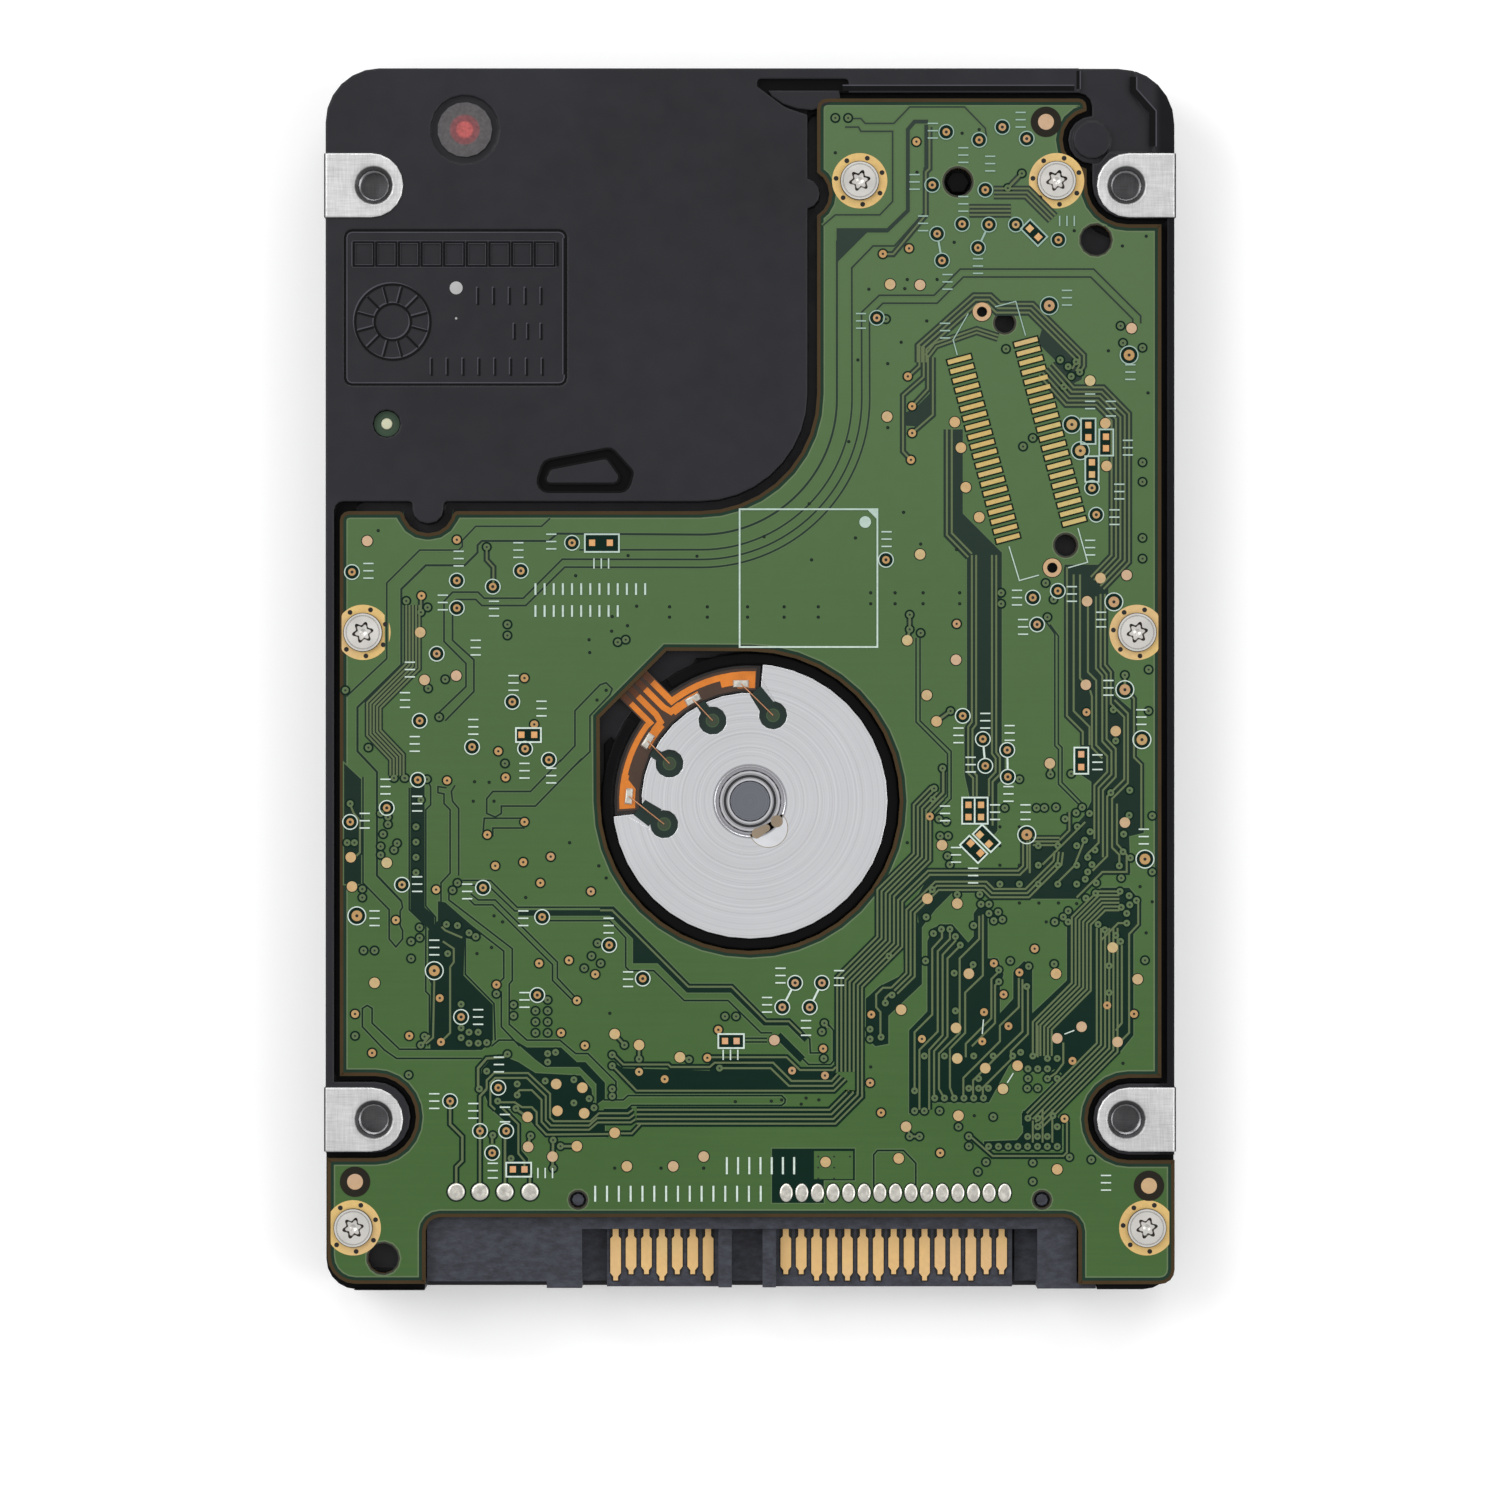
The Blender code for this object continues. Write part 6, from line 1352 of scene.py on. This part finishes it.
def make_hole_rims():
    """The brown cut rim round the board's larger holes."""
    fibre = layer("hole_rims", coated("hole_rim_fibre", tone(40, 36, 24), 0.6, 4.0, 0.01), 1.4)
    for x, y, radius in ((17.06, 40.81, 1.15), (28.38, 36.05, 1.25), (20.9, 29.24, 0.82), (25.9, 11.0, 0.9),
                         (-30.1, -47.5, 1.25), (-14.1, -42.7, 0.68), (23.95, -42.7, 0.68)):
        fibre.ring((x, y), radius, radius + 0.14, 36)
    fibre.build()


# ---------------------------------------------------------------- spindle motor

WELLS = [(75.0, 88.0, 0.75), (115.0, 117.0, 0.45), (155.0, 153.0, 0.45), (195.0, 182.5, 0.95)]
LEADS = [((-0.75, -0.35), 0.0), ((-4.7, -1.65), 28.0), ((-8.4, -5.05), 58.0), ((-9.95, -9.6), 84.0)]


def make_lead_wells():
    """Sealed wells in the motor's disc where the coil leads come out."""
    resin = coated("well_resin", tone(6, 34, 28), 0.3, 3.0, 0.01)
    edge = coated("well_rim", tone(52, 78, 46), 0.4, 5.0, 0.01)
    middle = coated("well_core", tone(44, 58, 36), 0.5, 5.0, 0.01)
    seal = Sheet("lead_well_seals", resin, 5.74, 5.79, "bracket_steel")
    rim = Sheet("lead_well_rims", edge, 5.78, 5.81, "bracket_steel")
    core = Sheet("lead_well_cores", middle, 5.78, 5.8, "bracket_steel")
    for angle, mouth, half in WELLS:
        centre = polar(SPINDLE, WELL_REACH, angle)
        seal.disc(centre, 1.14, 36)
        end = polar(SPINDLE, 9.0, mouth)
        turn = math.degrees(math.atan2(end[1] - centre[1], end[0] - centre[0]))
        start = polar(centre, 0.9, turn)
        middle = ((start[0] + end[0]) / 2.0, (start[1] + end[1]) / 2.0)
        seal.plate(turned_box(middle, math.dist(start, end), 2.0 * half - 0.04, turn))
        rim.ring(centre, 0.46, 0.56, 32)
        core.disc(centre, 0.45, 28)
    build_all(seal, rim, core)


def tail_line(offset, near, far):
    """A straight run along the motor circuit's tail."""
    side = polar((0.0, 0.0), offset, 45.0)
    return [(x + side[0], y + side[1]) for x, y in (polar(SPINDLE, near, 135.0), polar(SPINDLE, far, 135.0))]


def make_flex_details():
    """The four conductors of the motor's circuit, the film under them, the solder and the coil leads."""
    brown = coated("brown_film", tone(34, 28, 26), 0.3, 3.0, 0.01)
    film = Sheet("flex_backing", brown, 5.46, 5.53, "flex_orange")
    film.plate(arc(SPINDLE, 11.15, 85.5, 186.0) + arc(SPINDLE, 9.0, 186.0, 85.5))
    film.build()
    runs = Sheet("flex_conductors", AMBER, 5.6, 5.66, "flex_orange")
    runs.plate(arc(SPINDLE, 10.68, 87.5, 104.0) + arc(SPINDLE, 9.6, 104.0, 98.0)
               + arc(SPINDLE, 9.3, 96.0, 87.5))
    runs.line(arc(SPINDLE, 10.42, 102.0, 126.0, 4.0) + tail_line(1.25, 10.35, TAIL_END), 0.52)
    runs.plate(arc(SPINDLE, 10.0, 115.5, 131.0) + arc(SPINDLE, 9.35, 131.0, 115.5))
    runs.line(arc(SPINDLE, 9.8, 126.0, 131.5, 2.0) + tail_line(0.42, 10.5, TAIL_END), 0.5)
    runs.plate(arc(SPINDLE, 10.02, 139.0, 152.5) + arc(SPINDLE, 9.3, 152.5, 139.0))
    runs.line(arc(SPINDLE, 9.8, 144.0, 138.5, 2.0) + tail_line(-0.42, 10.5, TAIL_END), 0.5)
    runs.plate(arc(SPINDLE, 10.75, 168.0, 183.5) + arc(SPINDLE, 9.45, 183.5, 174.0)
               + arc(SPINDLE, 10.15, 170.0, 168.0))
    runs.line(arc(SPINDLE, 10.5, 170.0, 144.0, 4.0) + tail_line(-1.25, 10.35, TAIL_END), 0.46)
    runs.build()
    shaded = coated("film_in_shade", tone(92, 48, 14), 0.35, 3.0, 0.01)
    shade = Sheet("flex_under_board", shaded, 5.62, 5.68, "flex_orange")
    for offset in (-1.25, -0.42, 0.42, 1.25):
        shade.line(tail_line(offset, 12.6, TAIL_END), 0.5)
    shade.build()
    tin = Sheet("lead_joints", solder_metal(), 0.0, 0.0, "contact_gold")
    for (x, y), turn in LEADS:
        stages = [(1.0, 5.6), (1.0, 5.72), (0.85, 5.82), (0.5, 5.84)]
        tin.skin([(turned_box((x, y), 1.3 * share, 0.62 * share, turn), height) for share, height in stages])
    tin.build()
    for number, (((x, y), _), (angle, _, _)) in enumerate(zip(LEADS, WELLS), 1):
        end = polar(SPINDLE, WELL_REACH, angle)
        middle = ((x + end[0]) / 2.0, (y + end[1]) / 2.0)
        make_wire(f"coil_lead_{number}", [(x, y, 5.84), (*middle, 6.02), (*end, 5.82)], 0.055)


def make_wire(name, points, radius):
    """A short enamelled wire along a soft curve."""
    curve = bpy.data.curves.new(name, "CURVE")
    curve.dimensions = "3D"
    spline = curve.splines.new("BEZIER")
    spline.bezier_points.add(len(points) - 1)
    for knot, point in zip(spline.bezier_points, points):
        knot.co = [value * MM for value in point]
        knot.handle_left_type = knot.handle_right_type = "AUTO"
    curve.bevel_depth = radius * MM
    curve.bevel_resolution = 2
    curve.use_fill_caps = True
    curve.materials.append(LEAD_COPPER)
    wire = placed(name, curve)
    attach(wire, "base")


def make_motor_bay():
    """The raised shapes in the casting's bay beside the notch, and the adhesive on the motor's disc."""
    wings = Sheet("bay_wings", CASTING, 4.9, 5.5, "black_casting")
    wings.plate([(-4.9, 1.0), (-4.4, 1.75), (-0.6, 1.85), (1.0, 1.75), (0.7, 1.45), (-1.2, 1.4), (-3.0, 1.05),
                 (-4.4, 0.6)])
    wings.plate([(-12.0, -5.3), (-11.4, -4.7), (-10.95, -5.5), (-11.3, -6.4), (-11.35, -7.4), (-12.0, -7.5)])
    wings.build()
    drop = (SPINDLE[0] + 1.5, SPINDLE[1] - 2.2)
    crescent = arc(drop, 1.6, -160.0, 45.0) + arc(SPINDLE, 2.96, -22.0, -90.0)
    clear = coated("clear_adhesive", tone(204, 205, 208), 0.2, 2.0, 0.01)
    glue = Sheet("adhesive_drop", clear, 6.18, 6.208, "bracket_steel")
    glue.plate(crescent)
    glue.build()
    dried = coated("dried_adhesive", tone(140, 124, 104), 0.4, 3.0, 0.01)
    trace = Sheet("adhesive_trace", dried, 6.19, 6.22, "bracket_steel")
    trace.line(arc(drop, 1.6, -160.0, 45.0), 0.05)
    trace.plate(arc((0.55, -12.65), 0.42, 90.0, 290.0, 20.0) + arc((1.35, -12.2), 0.3, -70.0, 120.0, 20.0))
    trace.disc((2.2, -11.65), 0.5)
    trace.build()


def make_bearing_rings():
    """Turned rings between the motor's disc and its bearing cap."""
    steel = turned_metal("collar_steel", tone(170, 170, 174), 0.45, SPINDLE, 12.0)
    collar = Sheet("bearing_collar", steel, 0.0, 0.0, "bracket_steel")
    profile = [(3.06, 6.15), (3.06, 6.215), (2.94, 6.215), (2.9, 6.13), (2.76, 6.12), (2.72, 6.16),
               (2.58, 6.15), (2.53, 6.06), (2.53, 5.98)]
    collar.skin([(circle(SPINDLE, radius, 72), height) for radius, height in profile], closed=True)
    collar.build()
    polished = turned_metal("edge_steel", tone(226, 226, 230), 0.3, SPINDLE, 12.0)
    bright = Sheet("bearing_cap_edge", polished, 6.04, 6.14, "cap_steel")
    bright.ring(SPINDLE, 1.69, 1.84, 72)
    bright.ring(SPINDLE, 2.3, 2.44, 72)
    bright.build()
    shadow = coated("gap_shadow", tone(30, 30, 33), 0.4, 4.0, 0.01)
    dark = Sheet("bearing_gap", shadow, 6.04, 6.07, "cap_steel")
    dark.ring(SPINDLE, 1.95, 2.16, 72)
    dark.build()


# ---------------------------------------------------------------- casting

def draw_panel_marks(sheet, shift):
    """A spoked wheel and plain strokes on the panel."""
    centre = (-29.3 + shift, 29.3 - shift)
    sheet.ring(centre, 3.0, 3.18, 48)
    sheet.ring(centre, 1.4, 1.58, 36)
    for index in range(12):
        angle = 15.0 + 30.0 * index
        sheet.line([polar(centre, 1.6, angle), polar(centre, 2.95, angle)], 0.16)
    for x, y, height, step in ((-26.1, 25.6, 1.4, 1.3), (-19.3, 28.5, 1.3, 1.1), (-22.3, 31.4, 1.4, 1.3)):
        row_of_marks(sheet, (x + shift, y - shift), (-17.0, y), height, step)


def make_casting_marks():
    """The panel's marks and the grooves along the casting's steps, drawn as painted shade, with painted
    highlights beside them as their lit side.
    """
    # groove is painted shade: a near black standing for the shade along the marks' relief and the casting's
    # steps. lit is a painted highlight.
    groove = coated("painted_shade_coat", tone(6, 6, 8), 0.35, 5.0, 0.004, Specular_IOR_Level=0.15)
    lit = coated("lit_edge", tone(62, 62, 70), 0.35, 5.0, 0.004)
    for name, material, shift, high in (("lit_marks", lit, -0.1, 0.035), ("dark_marks", groove, 0.0, 0.06)):
        marks = Sheet(name, material, PANEL_FLOOR - 0.03, PANEL_FLOOR + high, "black_casting")
        draw_panel_marks(marks, shift)
        panel = edge_loops("base_casting", PANEL_FLOOR)
        marks.loop(inset(panel[0], 0.12 - shift), 0.14)
        for outline in panel[1:]:
            marks.loop(outline, 0.16 - shift)
        for index in range(10):
            x = -32.5 + 16.7 / 9.0 * index + shift
            marks.line([(x, 33.9), (x, 35.85)], 0.2)
        marks.line([(-15.2 + shift, 25.0), (-15.2 + shift, 36.2)], 0.2)
        marks.build()
    # Painted shadow lines along the casting's steps, with painted highlights beside three of them.
    shadows = Sheet("casting_shadow_lines", groove, 6.82, 6.862, "black_casting")
    edges = Sheet("casting_lit_edges", lit, 6.82, 6.856, "black_casting")
    for width, path in ((0.5, [(31.4, 49.4), (31.4, 48.3), (33.0, 46.5), (33.0, 43.7)]),
                        (0.25, [(26.9, 49.9), (26.9, 48.4)]), (0.4, [(7.6, 48.45), (26.6, 48.45)])):
        shadows.line(path, width)
        edges.line(beside(path, width * 0.5 + 0.06), 0.1)
    for outline in edge_loops("base_casting", 6.5):
        shadows.loop(outline, 0.16)
    shadows.build()
    edges.build()
    rib = Sheet("corner_rib", CASTING, 6.35, 6.6, "black_casting")
    rib.plate([(1.5, 48.3), (1.8, 47.8), (2.7, 47.2), (3.9, 46.8), (5.1, 46.7), (6.6, 47.3), (7.4, 47.7),
               (7.3, 48.3)])
    rib.build()
    dots = Sheet("panel_dots", coated("bare_alloy_dot", tone(176, 176, 176), 0.45, 6.0, 0.01, metallic=0.6),
                 PANEL_FLOOR - 0.03, PANEL_FLOOR + 0.03, "black_casting")
    dots.disc((-24.1, 32.1), 0.53, 28)
    dots.disc((-24.1, 29.6), 0.1, 12)
    dots.build()


def make_connector_details():
    """The dark slots that hold the contacts, and the floors of the gaps between the tongues."""
    floors = Sheet("connector_floors", connector_plastic(), 3.0, 3.3, "connector_plastic")
    for low, high in ((-14.0, -11.8), (-1.6, 1.2), (21.8, 23.8)):
        floors.plate(rectangle((low, -49.6), (high, -44.6)))
    floors.build()
    shadow = coated("slot_shadow", tone(12, 12, 14), 0.6, 5.0, 0.01)
    slots = Sheet("contact_slots", shadow, 4.08, 4.128, "connector_plastic")
    for first, lengths in ((-11.07, "LSSLSSL"), (2.95, "SSLLLLLSSLSLLSS")):
        for index, length in enumerate(lengths):
            x = first + CONTACT_PITCH * index
            tip = -49.62 if length == "L" else -49.1
            left, right = x - CONTACT_SHOULDER, x + CONTACT_SHOULDER
            slots.plate([(left, -45.1), (left, tip + 0.9), (x - 0.3, tip), (x + 0.3, tip), (right, tip + 0.9),
                         (right, -45.1)])
    slots.build()


def make_test_pin():
    """A pale contact pin in a round hole, with the board's green behind it."""
    centre = (-29.8, 20.96)
    green = coated("pin_ground", tone(40, 66, 44), 0.5, 4.0, 0.01)
    ground = Sheet("test_pin_ground", green, 6.38, 6.42, "board_green")
    ground.ring(centre, 0.48, 1.05, 32)
    ground.build()
    pin = Sheet("test_pin", coated("pin_tin", tone(196, 196, 168), 0.4, 6.0, 0.01), 0.0, 0.0, "contact_gold")
    stages = [(0.46, 6.3), (0.46, 6.5), (0.4, 6.56), (0.2, 6.58)]
    pin.skin([(circle(centre, radius, 28), height) for radius, height in stages])
    pin.build(smooth=True)


def make_mount_threads():
    """The threads seen in the four mounting holes, as closed ridges."""
    steel = Look("cut_thread", tone(150, 150, 152), 0.35, 1.0)
    steel.paint(steel.shade(0.2, steel.noise(1.0)))
    steel.bumps(steel.noise(4.0), 0.3, 0.01)
    threads = Sheet("mount_threads", steel.material, 0.0, 0.0, "black_casting")
    for centre in MOUNTS:
        for turn in range(5):
            height = 6.45 - 0.45 * turn
            stages = [(1.3, height), (1.3, height - 0.3), (1.12, height - 0.17), (1.12, height - 0.13)]
            threads.skin([(circle(centre, radius, 40), level) for radius, level in stages], closed=True)
    threads.build()


# ---------------------------------------------------------------- cable and underside

def make_actuator_flex():
    """The folded cable from the header to the arm."""
    start, end = np.array(polar(PIVOT, 5.35, 18.0)), np.array((19.3, 27.2))
    count = 48
    path = []
    for step in range(count + 1):
        part = step / count
        bow = 4.2 * math.sin(math.pi * part)
        path.append(tuple(start + (end - start) * part + np.array((0.15 * bow, bow))))
    strip = Sheet("actuator_flex_strip", AMBER, 1.4, 3.4, "flex_amber")
    strip.line(path, 0.12)
    piece = strip.build(smooth=True)
    piece.parent = None
    del piece["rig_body"]
    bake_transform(piece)
    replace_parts(piece, "actuator_flex_cable")


def draw_label():
    """Plain printed blocks on the cover's blank label."""
    ink = Look("label_ink", tone(60, 62, 66), 0.5)
    ink.paint(ink.shade(0.15, ink.noise(2.0)))
    ink.rough(ink.spread(ink.noise(3.0), 0.4, 0.6))
    print_ = Sheet("label_print", ink.material, 0.018, 0.06, "label_paper")
    print_.loop([(-25.2, -13.7), (25.2, -13.7), (25.2, 41.2), (-25.2, 41.2)], 0.25)
    for index in range(26):
        x = -22.0 + index * 1.1
        print_.plate(rectangle((x, -11.0), (x + 0.25 + 0.2 * (index * 7 % 4), -6.5)))
    bars = ((30.0, 1.4), (22.0, 1.0), (34.0, 0.6), (34.0, 0.6), (28.0, 0.6), (18.0, 0.6))
    for row, (width, height) in enumerate(bars):
        y = 34.0 - row * 4.2
        print_.plate(rectangle((-22.0, y), (-22.0 + width, y + height)))
    print_.loop([(10.0, -11.0), (22.0, -11.0), (22.0, -2.0), (10.0, -2.0)], 0.2)
    print_.build()


def make_parts():
    make_screws()
    make_screw_pads()
    make_solder()
    make_targets()
    make_hole_rims()
    make_lead_wells()
    make_flex_details()
    make_motor_bay()
    make_bearing_rings()
    make_connector_details()
    make_casting_marks()
    make_test_pin()
    make_mount_threads()
    make_actuator_flex()
    draw_label()


# ---------------------------------------------------------------- finishes of the CAD nodes

def dress(material, *names):
    """Gives CAD nodes a material. A name that ends in * stands for every node that starts with it."""
    for name in names:
        for node, solid in NODES.items():
            if node == name or (name.endswith("*") and node.startswith(name[:-1])):
                solid.data.materials.clear()
                solid.data.materials.append(material)


def dress_outside():
    dress(CASTING, "base_casting")
    dress(plated_cover(), "top_cover")
    dress(label_stock(), "cover_label")
    dress(laminate(), "circuit_board")
    dress(connector_plastic(), "sata_housing")
    dress(gold_plate("contact_gold", tone(236, 196, 134), 0.42, 0.2),
          "sata_signal_contacts", "sata_power_contacts")
    dress(turned_metal("bracket_steel", tone(234, 235, 238), 0.32, SPINDLE, 6.0, 0.08), "motor_bracket")
    dress(turned_metal("sleeve_steel", tone(176, 176, 180), 0.4, SPINDLE, 14.0), "bearing_sleeve")
    dress(turned_metal("cap_steel", tone(128, 130, 138), 0.36, SPINDLE, 10.0), "bearing_end_cap")
    dress(coated("flex_carrier", tone(66, 46, 34), 0.3, 3.0, 0.01), "motor_flex_cable")
    dress(port_film(), "port_seal")
    dress(brushed_metal("screw_steel", tone(214, 211, 205), 0.3, (3.0, 3.0, 1.0), 0.1, 0.004, 0.05),
          "board_screw_*", "cover_screw_*", "clamp_screw")
    dress(coated("gasket_rubber", tone(24, 24, 25), 0.8, 5.0, 0.01), "cover_gasket")
    dress(coated("filter_felt", tone(214, 212, 204), 0.95, 9.0, 0.05),
          "breather_filter", "recirculation_filter")


def dress_inside():
    epoxy = coated("chip_epoxy", tone(38, 38, 39), 0.6, 9.0, 0.01)
    dress(epoxy, "controller_chip", "memory_chip", "motor_driver_chip", "preamp_chip")
    dress(coated("header_plastic", tone(40, 40, 42), 0.5, 7.0, 0.006), "preamp_header")
    dress(turned_metal("hub_aluminium", tone(205, 206, 210), 0.28, SPINDLE, 8.0), "spindle_hub", "disk_clamp")
    dress(turned_metal("shaft_steel", tone(196, 196, 198), 0.22, SPINDLE, 20.0), "spindle_shaft")
    dress(turned_metal("platter_mirror", tone(222, 223, 226), 0.06, SPINDLE, 3.0), "platter")
    dress(coated("magnet_ferrite", tone(70, 70, 74), 0.7, 8.0, 0.01), "rotor_magnet")
    dress(brushed_metal("core_steel", tone(120, 120, 124), 0.4, (1.0, 1.0, 12.0)), "stator_core")
    copper = brushed_metal("copper_wire", tone(196, 120, 70), 0.32, (1.0, 1.0, 9.0), 0.2, 0.02)
    dress(copper, "stator_windings", "voice_coil")
    dress(brushed_metal("yoke_nickel", tone(196, 196, 196), 0.3), "yoke_*", "pivot_shaft", "latch_pin")
    dress(coated("magnet_nickel", tone(200, 196, 186), 0.25, 5.0, 0.004, metallic=1.0), "voice_magnet_*")
    dress(coated("stop_rubber", tone(40, 40, 40), 0.85, 6.0, 0.01), "crash_stop")
    dress(coated("ramp_plastic", tone(214, 211, 204), 0.45, 7.0, 0.006), "parking_ramp")
    dress(coated("latch_red", tone(190, 44, 46), 0.42, 6.0, 0.006), "inertial_latch")
    dress(brushed_metal("arm_aluminium", tone(204, 205, 208), 0.34, (6.0, 0.5, 2.0)), "actuator_arm")
    dress(brushed_metal("bearing_grey", tone(160, 160, 164), 0.35, (1.0, 1.0, 9.0)), "pivot_bearing")
    dress(coated("overmold_plastic", tone(86, 82, 78), 0.5, 7.0, 0.008), "coil_overmold")
    dress(brushed_metal("suspension_steel", tone(196, 196, 192), 0.26, (0.5, 6.0, 2.0)), "suspension_*")
    dress(coated("slider_ceramic", tone(60, 60, 64), 0.2, 9.0, 0.002), "slider_*")


# ---------------------------------------------------------------- stage

def make_floor():
    pale, white = (0.93, 0.93, 0.93, 1.0), (1.0, 1.0, 1.0, 1.0)
    look = Look("floor", pale, 0.9, Emission_Color=white, Emission_Strength=0.14)
    look.paint(look.shade(0.01, look.noise(0.01)))
    points = [(x, y, 0.0) for x in (-1.5, 1.5) for y in (-1.5, 1.5)]
    mesh = bpy.data.meshes.new("floor")
    mesh.from_pydata(points, [], [(0, 2, 3, 1)])
    mesh.materials.append(look.material)
    floor = placed("floor", mesh)
    floor.location.z = -0.0004


def make_light(name, place, aim, size, power):
    light = bpy.data.lights.new(name, "AREA")
    light.shape = "RECTANGLE"
    light.size, light.size_y = size
    light.energy = power
    lamp = placed(name, light)
    lamp.location = place
    lamp.rotation_mode = "QUATERNION"
    away = Vector(place) - Vector(aim)
    lamp.rotation_quaternion = away.to_track_quat("Z", "Y")


def make_stage():
    make_floor()
    world = bpy.data.worlds.new("studio")
    world.use_nodes = True
    background = world.node_tree.nodes["Background"]
    background.inputs["Color"].default_value = (1.0, 1.0, 1.0, 1.0)
    background.inputs["Strength"].default_value = WORLD_LIGHT
    bpy.context.scene.world = world
    for name, place, size, power in LIGHTS:
        make_light(name, place, (0.0, 0.0, 0.0), size, power)
    bpy.context.scene.view_settings.view_transform = "Standard"


def make_camera():
    data = bpy.data.cameras.new("camera")
    data.sensor_width = 36.0
    data.lens = 160.9
    data.clip_start, data.clip_end = 0.01, 10.0
    camera = placed("camera", data)
    camera.location = (0.0, -0.0058, 0.5566)
    bpy.context.scene.camera = camera


WORLD_LIGHT = 0.6
LIGHTS = [
    ("key_left", (-0.75, 0.35, 0.75), (0.7, 0.7), 5.2),
    ("fill_right", (0.8, -0.1, 0.6), (0.6, 0.8), 3.0),
    ("fill_back", (0.1, 0.85, 0.55), (0.9, 0.5), 3.0),
]

CASTING = black_casting()
AMBER = flex_film()
LEAD_COPPER = coated("lead_copper", tone(206, 150, 112), 0.35, 6.0, 0.004, metallic=0.8)
dress_outside()
dress_inside()
draw_board()
make_parts()
make_stage()
make_camera()
